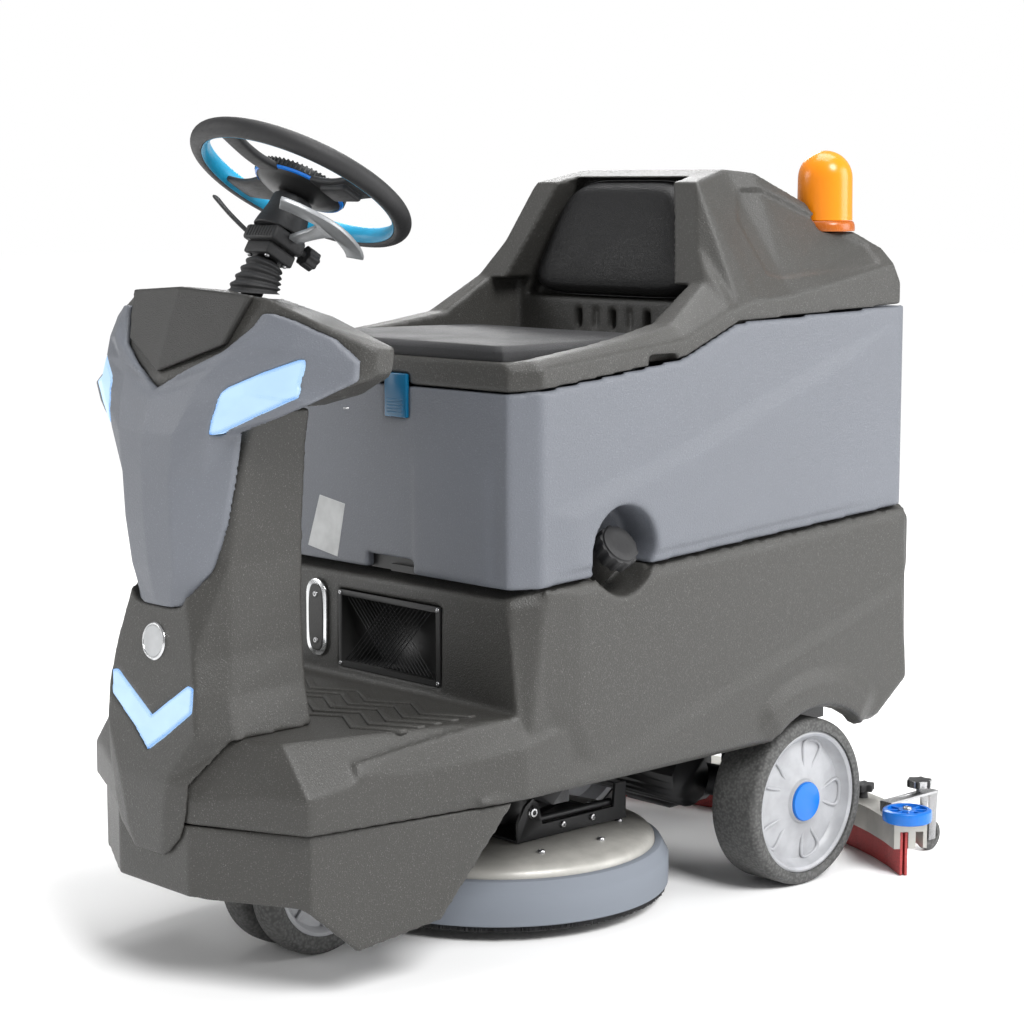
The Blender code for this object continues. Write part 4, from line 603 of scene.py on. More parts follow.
def prism(outline: Sequence[Sequence[float]], axis: str, low: float, high: float) -> bmesh.types.BMesh:
    """Outline across an axis, extruded along it.

    Args:
        outline: Points in the other two axes, in their order.
        axis: Axis that the solid is drawn out along.
        low: Where it starts.
        high: Where it ends.

    Returns:
        The closed mesh.
    """
    place: dict[str, Callable[[float, float, float], Point]] = {
        "X": lambda a, b, c: (c, a, b),
        "Y": lambda a, b, c: (a, c, b),
        "Z": lambda a, b, c: (a, b, c),
    }
    return loft([[place[axis](a, b, c) for a, b in outline] for c in (low, high)])


def block(low: Point, high: Point) -> bmesh.types.BMesh:
    """Block between two corners."""
    return prism(((low[0], low[1]), (high[0], low[1]), (high[0], high[1]), (low[0], high[1])), "Z", low[2], high[2])


def turned(profile: Sequence[tuple[float, float]], steps: int = 64, closed: bool = False) -> bmesh.types.BMesh:
    """Profile of (radius, height) turned about Z.

    Args:
        profile: Points from one end to the other.
        steps: Facets round the piece.
        closed: Whether the last point joins the first.

    Returns:
        The closed mesh.
    """
    bm = bmesh.new()
    rings = []
    for radius, height in profile:
        count = 1 if radius < 1e-7 else steps
        rings.append([bm.verts.new((radius * math.cos(math.tau * k / steps), radius * math.sin(math.tau * k / steps),
                                    height)) for k in range(count)])
    pairs = list(zip(rings, rings[1:])) + ([(rings[-1], rings[0])] if closed else [])
    for lower, upper in pairs:
        for k in range(steps):
            j = (k + 1) % steps
            corners = (lower[k % len(lower)], lower[j % len(lower)], upper[j % len(upper)], upper[k % len(upper)])
            face = list(dict.fromkeys(corners))
            if len(face) > 2:
                bm.faces.new(face)
    return solid(bm)


def swept(path: Sequence[Sequence[float]], radius: float, sides: int = 10) -> bmesh.types.BMesh:
    """Round bar along a path, with closed ends.

    Args:
        path: Points that the bar's middle follows.
        radius: Its radius.
        sides: Facets round it.

    Returns:
        The closed mesh.
    """
    points = [Vector(p) for p in path]
    sections = []
    side = Vector((0.0, 0.0, 1.0))
    for i, point in enumerate(points):
        along = (points[min(i + 1, len(points) - 1)] - points[max(i - 1, 0)]).normalized()
        across = along.cross(side)
        across = across.normalized() if across.length > 1e-4 else Vector((1.0, 0.0, 0.0))
        up = across.cross(along).normalized()
        side = up
        sections.append([point + across * radius * math.cos(a) + up * radius * math.sin(a) for a in angles(sides)])
    return loft(sections)


def smooth_path(points: Sequence[Sequence[float]], steps: int = 6) -> list[Vector]:
    """Catmull-Rom curve through points.

    Args:
        points: The points.
        steps: Parts that each stretch between two points is cut into.

    Returns:
        Places along the curve.
    """
    knots = [Vector(p) for p in points]
    knots = [knots[0] * 2 - knots[1], *knots, knots[-1] * 2 - knots[-2]]
    result = []
    for a, b, c, d in zip(knots, knots[1:], knots[2:], knots[3:]):
        for k in range(steps):
            t = k / steps
            square, cube = 2 * a - 5 * b + 4 * c - d, 3 * b - a - 3 * c + d
            result.append(0.5 * (2 * b + (c - a) * t + square * t * t + cube * t ** 3))
    result.append(knots[-2])
    return result


def moved(bm: bmesh.types.BMesh, matrix: Matrix) -> bmesh.types.BMesh:
    """Mesh carried to another place."""
    bmesh.ops.transform(bm, matrix=matrix, verts=bm.verts)
    return bm


def merged(*parts: bmesh.types.BMesh) -> bmesh.types.BMesh:
    """Several meshes in one, unjoined.

    Args:
        parts: The meshes; they are used up.

    Returns:
        One mesh that holds them all.
    """
    result = bmesh.new()
    for part in parts:
        mesh = bpy.data.meshes.new("part")
        part.to_mesh(mesh)
        part.free()
        result.from_mesh(mesh)
        bpy.data.meshes.remove(mesh)
    return result


def eased(bm: bmesh.types.BMesh, width: float, segments: int = 3, angle: float = 30.0) -> bmesh.types.BMesh:
    """Round the sharp edges of a plain solid.

    Args:
        bm: The solid.
        width: Width of the rounding.
        segments: Facets across it.
        angle: Edges sharper than this are rounded, in degrees.

    Returns:
        The same mesh.
    """
    sharp = [edge for edge in bm.edges if edge.calc_face_angle(0.0) > math.radians(angle)]
    bmesh.ops.bevel(bm, geom=sharp, offset=width, segments=segments, affect="EDGES", profile=0.5, clamp_overlap=True)
    return solid(bm)


def spun_x(bm: bmesh.types.BMesh, centre: Point, side: int = 1) -> bmesh.types.BMesh:
    """Piece turned about Z laid along X, its top facing the given side."""
    turn = tipped(90 * side, "Y")
    return moved(bm, Matrix.Translation(centre) @ turn)


def inset(outline: Sequence[tuple[float, float]], borders: Sequence[float]) -> list[tuple[float, float]]:
    """Outline moved inwards, each edge by its own distance.

    Args:
        outline: Corners in order, either way round.
        borders: Distance for the edge that starts at each corner.

    Returns:
        The new corners.
    """
    area = sum(a[0] * b[1] - b[0] * a[1] for a, b in zip(outline, (*outline[1:], outline[0])))
    turn = 1.0 if area > 0 else -1.0
    lines = []
    for (ax, ay), (bx, by), border in zip(outline, (*outline[1:], outline[0]), borders):
        length = math.hypot(bx - ax, by - ay)
        nx, ny = -(by - ay) / length * turn, (bx - ax) / length * turn
        lines.append((nx, ny, nx * ax + ny * ay + border))
    points = []
    for (n0, m0, c0), (n1, m1, c1) in zip((lines[-1], *lines[:-1]), lines):
        det = n0 * m1 - n1 * m0
        points.append(((c0 * m1 - c1 * m0) / det, (n0 * c1 - n1 * c0) / det))
    return points


def raised(outline: Sequence[tuple[float, float]], height: float, borders: Sequence[float],
           face: Callable[[float, float, float], Point], root: float = 0.004) -> bmesh.types.BMesh:
    """Plate that stands proud of a face, with a sloping border of its own width along each edge.

    Args:
        outline: Its foot on the face.
        height: How far its top stands off.
        borders: Width of the slope along each edge.
        face: Turns a point of the outline and a height into a place.
        root: How deep the plate reaches into the shell.

    Returns:
        The closed mesh.
    """
    top = inset(outline, borders)
    return loft([[face(u, v, -root) for u, v in outline], [face(u, v, 0.0) for u, v in outline],
                 [face(u, v, height) for u, v in top]])


def side_face(side: int) -> Callable[[float, float, float], Point]:
    """Flat side of the body, with Y and Z along it."""
    return lambda y, z, height: (side * (HALF + height), y, z)


def front_face(x: float, z: float, height: float) -> Point:
    """Flat front of the tank, with X and Z along it."""
    return x, fore(0.150) - height, z


def superellipse(half_x: float, half_y: float, power: float, count: int) -> list[tuple[float, float]]:
    """Outline between an ellipse and a rectangle.

    Args:
        half_x: Half of its width.
        half_y: Half of its height.
        power: 2 gives an ellipse, and more comes nearer to a rectangle.
        count: Number of points.

    Returns:
        The points.
    """
    points = []
    for angle in angles(count):
        c, s = math.cos(angle), math.sin(angle)
        u, v = math.copysign(abs(c) ** (2 / power), c), math.copysign(abs(s) ** (2 / power), s)
        points.append((half_x * u, half_y * v))
    return points


def side_hole(side: int, centre: tuple[float, float], radius: float) -> bmesh.types.BMesh:
    """Round tool through one side of the body.

    Args:
        side: 1 for the left, -1 for the right.
        centre: Y and Z of its middle.
        radius: Its radius.

    Returns:
        The closed mesh.
    """
    outline = [(centre[0] + a, centre[1] + b) for a, b in (polar(radius, angle) for angle in angles(48))]
    return prism(outline, "X", *sorted((side * 0.2, side * 0.4)))


def lobed(radius: float, depth: float, lobes: int, count: int, scale: float = 1.0) -> list[tuple[float, float]]:
    """Wavy outline of a grip knob.

    Args:
        radius: Its middle radius.
        depth: Height of the waves.
        lobes: How many waves go round.
        count: Number of points.
        scale: Share that the finished outline is scaled to.

    Returns:
        The points.
    """
    return [polar((radius + depth * math.cos(lobes * angle)) * scale, angle) for angle in angles(count)]


@dataclass
class Shop:
    """Turns meshes into finished pieces of the machine."""

    made: list[bpy.types.Object] = field(default_factory=list)

    def publish(self, name: str, bm: bmesh.types.BMesh, finish: Palette, body: str,
                replaces: Iterable[str] = (), angle: float = 32.0) -> bpy.types.Object:
        """Make a piece from a mesh.

        Args:
            name: The piece's name.
            bm: Its mesh, in the machine's frame; it is used up.
            finish: Its finish.
            body: The moving body that it belongs to, or nothing for a piece tied to no body.
            replaces: Solids that it stands for.
            angle: Edges sharper than this stay sharp, in degrees.

        Returns:
            The piece.
        """
        mesh = bpy.data.meshes.new(name)
        bm.to_mesh(mesh)
        bm.free()
        return self.adopt(name, mesh, finish, body, replaces, angle)

    def adopt(self, name: str, mesh: bpy.types.Mesh, finish: Palette, body: str,
              replaces: Iterable[str] = (), angle: float = 32.0) -> bpy.types.Object:
        """Make a piece from a mesh datablock, shaded and tied to its body.

        Args:
            name: The piece's name.
            mesh: Its mesh datablock.
            finish: Its finish.
            body: The moving body that it belongs to, or nothing.
            replaces: Solids that it stands for.
            angle: Edges sharper than this stay sharp, in degrees.

        Returns:
            The piece.
        """
        mesh.materials.clear()
        mesh.materials.append(finish.material())
        mesh.shade_smooth()
        mesh.set_sharp_from_angle(angle=math.radians(angle))
        piece = bpy.data.objects.new(name, mesh)
        bpy.context.scene.collection.objects.link(piece)
        nodes = tuple(replaces)
        if nodes:
            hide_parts(*nodes)
        if body:
            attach(piece, body)
        self.made.append(piece)
        LOG.info("%s: %d faces, on %s", name, len(mesh.polygons), body)
        return piece

    def copy(self, node: str) -> bmesh.types.BMesh:
        """Welded copy of a solid.

        Args:
            node: Name of the solid.

        Returns:
            The copy.
        """
        bm = bmesh.new()
        bm.from_mesh(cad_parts[node].data)
        bmesh.ops.remove_doubles(bm, verts=bm.verts, dist=2e-5)
        return bm

    def carry(self, node: str, finish: Palette, body: str, angle: float = 32.0, name: str = "") -> bpy.types.Object:
        """Show a solid as it is, welded and shaded, with a finish."""
        return self.publish(name or node + "_skin", self.copy(node), finish, body, (node,), angle)

    def skin(self, node: str, name: str, finish: Palette, melt: tuple[float, int, float]) -> bpy.types.Object:
        """Show a chassis solid as one moulded skin; melt holds mould's voxel, passes and keep."""
        return self.publish(name, self.mould(self.copy(node), melt=melt), finish, CHASSIS, (node,), 180)

    def carved(self, base: bmesh.types.BMesh, tools: Iterable[bmesh.types.BMesh],
               operation: str = "DIFFERENCE") -> bmesh.types.BMesh:
        """Mesh with each tool taken away or added.

        Args:
            base: The mesh to work on; it is used up.
            tools: Closed meshes; they are used up.
            operation: Boolean operation.

        Returns:
            The carved mesh.
        """
        for tool in tools:
            holders = []
            for bm in (base, tool):
                mesh = bpy.data.meshes.new("carving")
                bm.to_mesh(mesh)
                bm.free()
                holder = bpy.data.objects.new("carving", mesh)
                bpy.context.scene.collection.objects.link(holder)
                holders.append(holder)
            modifier = holders[0].modifiers.new("cut", "BOOLEAN")
            modifier.operation = operation
            modifier.solver = "MANIFOLD"
            modifier.object = holders[1]
            graph = bpy.context.evaluated_depsgraph_get()
            base = bmesh.new()
            base.from_mesh(holders[0].evaluated_get(graph).to_mesh())
            for holder in holders:
                mesh = holder.data
                bpy.data.objects.remove(holder)
                bpy.data.meshes.remove(mesh)
        return base

    def mould(self, *parts: bmesh.types.BMesh, melt: tuple[float, int, float]) -> bmesh.types.BMesh:
        """Melt closed meshes into one skin and round its edges, as a moulding tool would.

        Args:
            parts: Closed meshes, which may overlap; they are used up.
            melt: Size in metres of the cells that the skin is drawn from, smoothing passes, and share of faces kept.

        Returns:
            The skin.
        """
        voxel, passes, keep = melt
        mesh = bpy.data.meshes.new("melt")
        whole = merged(*parts)
        whole.to_mesh(mesh)
        whole.free()
        holder = bpy.data.objects.new("melt", mesh)
        bpy.context.scene.collection.objects.link(holder)
        remesh = holder.modifiers.new("melt", "REMESH")
        remesh.mode = "VOXEL"
        remesh.voxel_size = voxel
        ease = holder.modifiers.new("ease", "SMOOTH")
        ease.factor = 0.5
        ease.iterations = passes
        thin = holder.modifiers.new("thin", "DECIMATE")
        thin.ratio = keep
        graph = bpy.context.evaluated_depsgraph_get()
        skin = bmesh.new()
        skin.from_mesh(holder.evaluated_get(graph).to_mesh())
        bpy.data.objects.remove(holder)
        bpy.data.meshes.remove(mesh)
        return skin


# ------------------------------------------------------------------ repeating pieces
class Pattern(Enum):
    """Ways in which a piece repeats."""

    RING = "ring"
    ROW = "row"
    FIELD = "field"


@dataclass
class Repeater:
    """Geometry Nodes tree that repeats a small mesh and realises the copies."""

    pattern: Pattern
    count: int
    radius: float = 0.0
    inner: float = 0.0
    step: Point = (0.0, 0.0, 0.0)
    lean: float = 0.0
    phase: float = 0.0
    seed: int = 7

    def _tree(self, material: bpy.types.Material) -> bpy.types.NodeTree:
        """Build the tree for this pattern.

        Args:
            material: Material that the copies carry.

        Returns:
            The tree.
        """
        tree = bpy.data.node_groups.new("repeat_" + self.pattern.value, "GeometryNodeTree")
        face = tree.interface
        face.new_socket("Geometry", in_out="INPUT", socket_type="NodeSocketGeometry")
        for name, kind in (("Count", "NodeSocketInt"), ("Radius", "NodeSocketFloat"), ("Inner", "NodeSocketFloat"),
                           ("Step", "NodeSocketVector"), ("Lean", "NodeSocketFloat"), ("Phase", "NodeSocketFloat")):
            face.new_socket(name, in_out="INPUT", socket_type=kind)
        face.new_socket("Geometry", in_out="OUTPUT", socket_type="NodeSocketGeometry")

        def add(kind: str, inputs: dict[int | str, Any], **settings: Any) -> bpy.types.Node:
            """Add a node and feed it.

            Args:
                kind: Blender's type name of the node.
                inputs: Numbers, colours or sockets for its sockets.
                settings: Properties to set first.

            Returns:
                The node.
            """
            node = tree.nodes.new(kind)
            for key, value in settings.items():
                setattr(node, key, value)
            for key, value in inputs.items():
                if isinstance(value, bpy.types.NodeSocket):
                    tree.links.new(value, node.inputs[key])
                else:
                    node.inputs[key].default_value = value
            return node

        def sum_of(operation: str, *values: Any) -> bpy.types.NodeSocket:
            """Result of a Math node."""
            return add("ShaderNodeMath", dict(enumerate(values)), operation=operation).outputs[0]

        def random(low: float, seed: int) -> bpy.types.NodeSocket:
            """Random number up to one for each copy."""
            return add("FunctionNodeRandomValue", {2: low, 3: 1.0, "Seed": seed}, data_type="FLOAT").outputs[1]

        given = tree.nodes.new("NodeGroupInput").outputs
        index = add("GeometryNodeInputIndex", {}).outputs[0]
        points = add("GeometryNodePoints", {"Count": given["Count"]}).outputs[0]
        if self.pattern is Pattern.ROW:
            where = add("ShaderNodeVectorMath", {0: given["Step"], 3: index}, operation="SCALE").outputs[0]
            spin = (0.0, 0.0, 0.0)
        else:
            share = sum_of("DIVIDE", index, given["Count"])
            angle = sum_of("MULTIPLY_ADD", share, math.tau, given["Phase"])
            reach = given["Radius"]
            tilt: Any = given["Lean"]
            if self.pattern is Pattern.FIELD:
                room = sum_of("SUBTRACT", given["Radius"], given["Inner"])
                reach = sum_of("MULTIPLY_ADD", sum_of("SQRT", random(0.0, self.seed)), room, given["Inner"])
                tilt = sum_of("MULTIPLY", random(-1.0, self.seed + 1), given["Lean"])
            x = sum_of("MULTIPLY", sum_of("COSINE", angle), reach)
            y = sum_of("MULTIPLY", sum_of("SINE", angle), reach)
            where = add("ShaderNodeCombineXYZ", {0: x, 1: y}).outputs[0]
            turn = {0: tilt, 1: tilt, 2: angle} if self.pattern is Pattern.FIELD else {1: tilt, 2: angle}
            spin = add("ShaderNodeCombineXYZ", turn).outputs[0]
        placed = add("GeometryNodeSetPosition", {"Geometry": points, "Position": where}).outputs[0]
        spread = {"Points": placed, "Instance": given["Geometry"], "Rotation": spin}
        copies = add("GeometryNodeInstanceOnPoints", spread).outputs[0]
        real = add("GeometryNodeRealizeInstances", {"Geometry": copies}).outputs[0]
        dressed = add("GeometryNodeSetMaterial", {"Geometry": real, "Material": material}).outputs[0]
        tree.links.new(dressed, tree.nodes.new("NodeGroupOutput").inputs[0])
        return tree

    def run(self, item: bmesh.types.BMesh, finish: Palette) -> bmesh.types.BMesh:
        """Repeat a mesh.

        Args:
            item: The mesh to repeat, about its own origin; it is used up.
            finish: Finish that the copies carry.

        Returns:
            All the copies as one plain mesh.
        """
        mesh = bpy.data.meshes.new("item")
        item.to_mesh(mesh)
        item.free()
        holder = bpy.data.objects.new("item", mesh)
        bpy.context.scene.collection.objects.link(holder)
        tree = self._tree(finish.material())
        modifier = holder.modifiers.new("repeat", "NODES")
        modifier.node_group = tree
        values = {"Count": self.count, "Radius": self.radius, "Inner": self.inner, "Step": self.step,
                  "Lean": self.lean, "Phase": self.phase}
        for socket in tree.interface.items_tree:
            if socket.in_out == "INPUT" and socket.name in values:
                modifier[socket.identifier] = values[socket.name]
        bpy.context.view_layer.update()
        graph = bpy.context.evaluated_depsgraph_get()
        result = bpy.data.meshes.new_from_object(holder.evaluated_get(graph))
        bpy.data.objects.remove(holder)
        bm = bmesh.new()
        bm.from_mesh(result)
        bpy.data.meshes.remove(result)
        return bm


def screw_head(radius: float, height: float) -> bmesh.types.BMesh:
    """Domed screw head with a socket, its seat at the origin and its top along Z."""
    profile = [(0.0, 0.0), (radius, 0.0), (radius, height * 0.4), (radius * 0.82, height * 0.85),
               (radius * 0.5, height), (radius * 0.42, height), (radius * 0.38, height * 0.35), (0.0, height * 0.35)]
    return turned(profile, 16)


# ------------------------------------------------------------------ sub-assemblies
@dataclass
class Bodywork:
    """Platform, column, shield, dash and the shells of both tanks."""

    shop: Shop
    tread_pitch: float = 0.030
    tread_height: float = 0.0030
    flare_inner: float = 0.150
    flare_outer: float = 0.214
    cheek_rise: float = 0.0065
    panel_rise: float = 0.0115
    bulge_rise: float = 0.0058
    step_rise: float = 0.0030
    panel_depth: float = 0.006
    badge_radius: float = 0.048
    badge_lift: float = 0.0046

    def build(self) -> None:
        """Make every piece of the bodywork."""
        self.platform()
        self.nose()
        self.tank()
        self.hood()
        self.lamps()
        self.badges()
        self.screws()

    def platform(self) -> None:
        """Lower body with its side facets, arch flares and deck tread."""
        shop = self.shop
        parts = [shop.copy("solution_tank")]
        for side in (-1, 1):
            face = side_face(side)
            cheek = [(-0.208, 0.360), (-0.208, 0.5125), (0.560, 0.5585), (0.566, 0.290), (0.494, 0.238),
                     (-0.150, 0.238)]
            plate = raised(cheek, self.cheek_rise, (0.060, 0.015, 0.004, 0.004, 0.002, 0.040), face)
            parts.append(self.pocketed(shop.carved(plate, [self.arch(side)]), side))
            lower = [(-0.335, 0.238), (0.548, 0.478), (0.550, 0.429), (0.566, 0.290), (0.494, 0.238)]
            plate = raised(lower, self.panel_rise, (0.054, 0.004, 0.004, 0.004, 0.002), face)
            parts.append(shop.carved(plate, [self.arch(side)]))
            parts.append(self.flank(side))
            parts.append(self.flare(side))
        shell = shop.mould(*parts, melt=(0.0042, 4, 0.55))
        shop.publish("platform_shell", shell, Palette.SHELL, CHASSIS, ("solution_tank",), 180)
        shop.publish("deck_tread", self.tread(), Palette.SHELL, CHASSIS, angle=180)

    def arch(self, side: int) -> bmesh.types.BMesh:
        """Tool for a rear wheel arch."""
        return side_hole(side, (REAR_AXLE_Y, WHEEL_Z), ARCH_RADIUS)

    def pocketed(self, plate: bmesh.types.BMesh, side: int) -> bmesh.types.BMesh:
        """Side plate with the filler's pocket cut away on the left."""
        if side < 0:
            return plate
        return self.shop.carved(plate, [side_hole(side, (FILLER_Y, FILLER_Z), POCKET_RADIUS)])

    def flank(self, side: int) -> bmesh.types.BMesh:
        """Soft bulge along the platform's side that runs out into a point on the plinth.

        Args:
            side: 1 for the left, -1 for the right.

        Returns:
            The closed mesh.
        """
        stations = ((-0.100, -0.0010, 0.300, 0.318), (-0.020, 0.0012, 0.291, 0.331), (0.060, 0.0038, 0.296, 0.341),
                    (0.150, 0.0070, 0.303, 0.3445), (0.200, 0.0050, 0.316, 0.3415), (0.278, 0.0004, 0.3355, 0.3365))
        sections = []
        for back, out, low, high in stations:
            y = fore(back)
            local = HALF - 0.048 * max(0.0, (fore(0.150) - y) / 0.326)
            root, crest = side * (local - 0.012), side * (local + out)
            sections.append([(root, y, 0.240), (crest, y, 0.246), (crest, y, low), (root, y, high)])
        return loft(sections)

    def tread(self) -> bmesh.types.BMesh:
        """Chevron ribs on the foot deck.

        Returns:
            All the ribs as one mesh.
        """
        half = [(0.235, 0.026), (0.175, -0.010), (0.115, 0.026), (0.060, -0.010), (0.0, 0.026)]
        path = half + [(-x, y) for x, y in reversed(half[:-1])]
        width = 0.0060
        outline = [(x, y + width) for x, y in path] + [(x, y - width) for x, y in reversed(path)]
        rib = eased(prism(outline, "Z", -0.004, self.tread_height), 0.0014, 2, 50)
        row = Repeater(Pattern.ROW, 5, step=(0.0, self.tread_pitch, 0.0)).run(rib, Palette.SHELL)
        return moved(row, at(0.0, fore(-0.040), DECK_Z))

    def flare(self, side: int) -> bmesh.types.BMesh:
        """Raised band round a rear wheel arch: a flat lip inside a sloping ring.

        Args:
            side: 1 for the left, -1 for the right.

        Returns:
            The closed mesh.
        """
        sections = []
        for k in range(41):
            angle = math.radians(46 + (180 - 46 - 44) * k / 40)
            fade = min(1.0, k / 4, (40 - k) / 4)
            rise = self.panel_rise + 0.0085 * fade
            ring = ((self.flare_inner - 0.003, -0.004), (self.flare_inner, rise),
                    (self.flare_outer - 0.030, rise + 0.0006), (self.flare_outer, self.panel_rise - 0.0020),
                    (self.flare_outer, -0.004))
            c, s = math.cos(angle), math.sin(angle)
            sections.append([(side * (HALF + out), REAR_AXLE_Y - radius * c, WHEEL_Z + radius * s) for radius,
                             out in ring])
        return loft(sections)

    def nose(self) -> None:
        """Bumper, column, dash, shield and the lid in the dash."""
        shop = self.shop
        shop.skin("front_bumper", "bumper_shell", Palette.SHELL, (0.0030, 6, 0.6))
        shrunk = at(0.0, FRONT_AXLE_Y) @ Matrix.Diagonal((0.965, 0.955, 1.0, 1.0)) @ at(0.0, -FRONT_AXLE_Y)
        lip = moved(shop.copy("front_bumper"), at(z=0.0045) @ shrunk)
        shop.publish("bumper_lip", lip, Palette.BLACK, CHASSIS)
        shop.skin("front_column", "column_shell", Palette.SHELL, (0.0032, 6, 0.6))
        shop.skin("dash_housing", "dash_shell", Palette.SHELL, (0.0028, 6, 0.6))
        shop.skin("front_shield", "shield_shell", Palette.TANK, (0.0022, 5, 0.6))
        shop.skin("dash_trim", "dash_lid", Palette.TRIM, (0.0018, 4, 0.5))

    def tank(self) -> None:
        """Recovery tank with a bulged lower side, a notch at the foot of its front, a stepped front, and a black
        backing that paints the shade inside the notch.
        """
        shop = self.shop
        notch = block((-0.036, fore(0.10), 0.50), (0.063, fore(0.175), 0.5330))
        parts = [shop.carved(shop.copy("recovery_tank"), [notch])]
        bulge = [(-0.206, 0.616), (0.065, 0.691), (0.415, 0.812), (0.545, 0.842), (0.545, 0.576), (-0.206, 0.530)]
        for side in (-1, 1):
            plate = raised(bulge, self.bulge_rise, (0.026, 0.026, 0.026, 0.150, 0.004, 0.055), side_face(side))
            parts.append(self.pocketed(plate, side))
        step = [(0.066, 0.5150), (0.0655, 0.700), (0.2300, 0.700), (0.2300, 0.5150)]
        parts.append(raised(step, self.step_rise, (0.002, 0.05, 0.02, 0.003), front_face))
        shell = shop.mould(*parts, melt=(0.0046, 4, 0.65))
        shop.publish("tank_shell", shell, Palette.TANK, TANK_BODY, ("recovery_tank",), 180)
        # Painted shade: a black sheet behind the notch stands in for the shade inside it.
        notch_shade = merged(block((-0.040, fore(0.163), 0.512), (0.066, fore(0.166), 0.540)),
                       block((0.010, fore(0.156), 0.512), (0.066, fore(0.163), 0.522)))
        shop.publish("notch_shade_backing", notch_shade, Palette.BLACK, CHASSIS)

    def hood(self) -> None:
        """Seat housing with an inset panel on each side of the hood."""
        shop = self.shop
        stations = ((0.262, (0.2845, 0.892), (0.150, 1.068), 0.16, 0.60),
                    (0.296, (0.2848, 0.892), (0.149, 1.070), 0.13, 0.84),
                    (0.331, (0.285, 0.898), (0.172, 1.066), 0.12, 0.86),
                    (0.500, (0.285, 0.926), (0.247, 0.969), 0.16, 0.80))
        panels = []
        for side in (-1, 1):
            sections = []
            for y, base, crown, near, far in stations:
                low, high = Vector(base), Vector(crown)
                along = high - low
                out = Vector((along.y, -along.x)).normalized()
                corners = ((near, -self.panel_depth), (far, -self.panel_depth), (far, 0.03), (near, 0.03))
                points = [low + along * share + out * depth for share, depth in corners]
                sections.append([(side * point.x, y, point.y) for point in points])
            panels.append(loft(sections))
        housing = shop.carved(shop.copy("seat_housing"), panels)
        shell = shop.mould(housing, melt=(0.0038, 5, 0.55))
        shop.publish("seat_shell", shell, Palette.SHELL, SEAT_BODY, ("seat_housing",), 180)

    def lamps(self) -> None:
        """Headlights and the chevron light."""
        for node in ("headlight_left", "headlight_right", "chevron_light"):
            self.shop.skin(node, node + "_lens", Palette.LIGHT, (0.0016, 6, 0.5))

    def badges(self) -> None:
        """Blank badges and a blank sticker, each a little proud of its shell."""
        disc_profile = [(0.0, 0.0), (1.0, 0.0), (1.0, 0.45), (0.93, 0.80), (0.86, 0.80), (0.84, 0.55), (0.0, 0.62)]
        for side, name in SIDES:
            centre = (side * (HALF + self.badge_lift), fore(0.751), 0.711)
            badge = turned([(r * self.badge_radius, h * 0.0042 - 0.0026) for r, h in disc_profile], 64)
            self.shop.publish("side_badge_" + name, spun_x(badge, centre, side), Palette.CHROME, TANK_BODY)
            inner = self.badge_radius * 0.845
            face = turned([(0.0, -0.0006), (inner, -0.0006), (inner, 0.0004), (0.0, 0.0008)], 64)
            self.shop.publish("side_badge_face_" + name, spun_x(face, centre, side), Palette.BADGE, TANK_BODY)
        tilt = at(0.0, fore(-0.2393), 0.461) @ tipped(90 - 6.5, "X")
        small = turned([(r * 0.025, h * 0.0050 - 0.0014) for r, h in disc_profile], 48)
        self.shop.publish("column_badge", moved(small, tilt), Palette.CHROME, CHASSIS)
        face = turned([(0.0, 0.0014), (0.0207, 0.0014), (0.0207, 0.0020), (0.0, 0.0024)], 48)
        self.shop.publish("column_badge_face", moved(face, tilt), Palette.BADGE, CHASSIS)
        outline = [(-0.140, 0.606), (-0.083, 0.598), (-0.101, 0.520), (-0.168, 0.530)]
        label = raised(outline, 0.0006, (0.0004,) * 4, front_face, 0.001)
        self.shop.publish("blank_sticker", label, Palette.STICKER, TANK_BODY)

    def screws(self) -> None:
        """Screws under the dash's wings."""
        ring = merged(*(moved(screw_head(0.0042, 0.002), at(x, fore(-0.070), 0.7668) @ tipped(180, "X"))
                        for x in (0.19, 0.13, -0.13, -0.19)))
        self.shop.publish("dash_screws", ring, Palette.ZINC, CHASSIS)


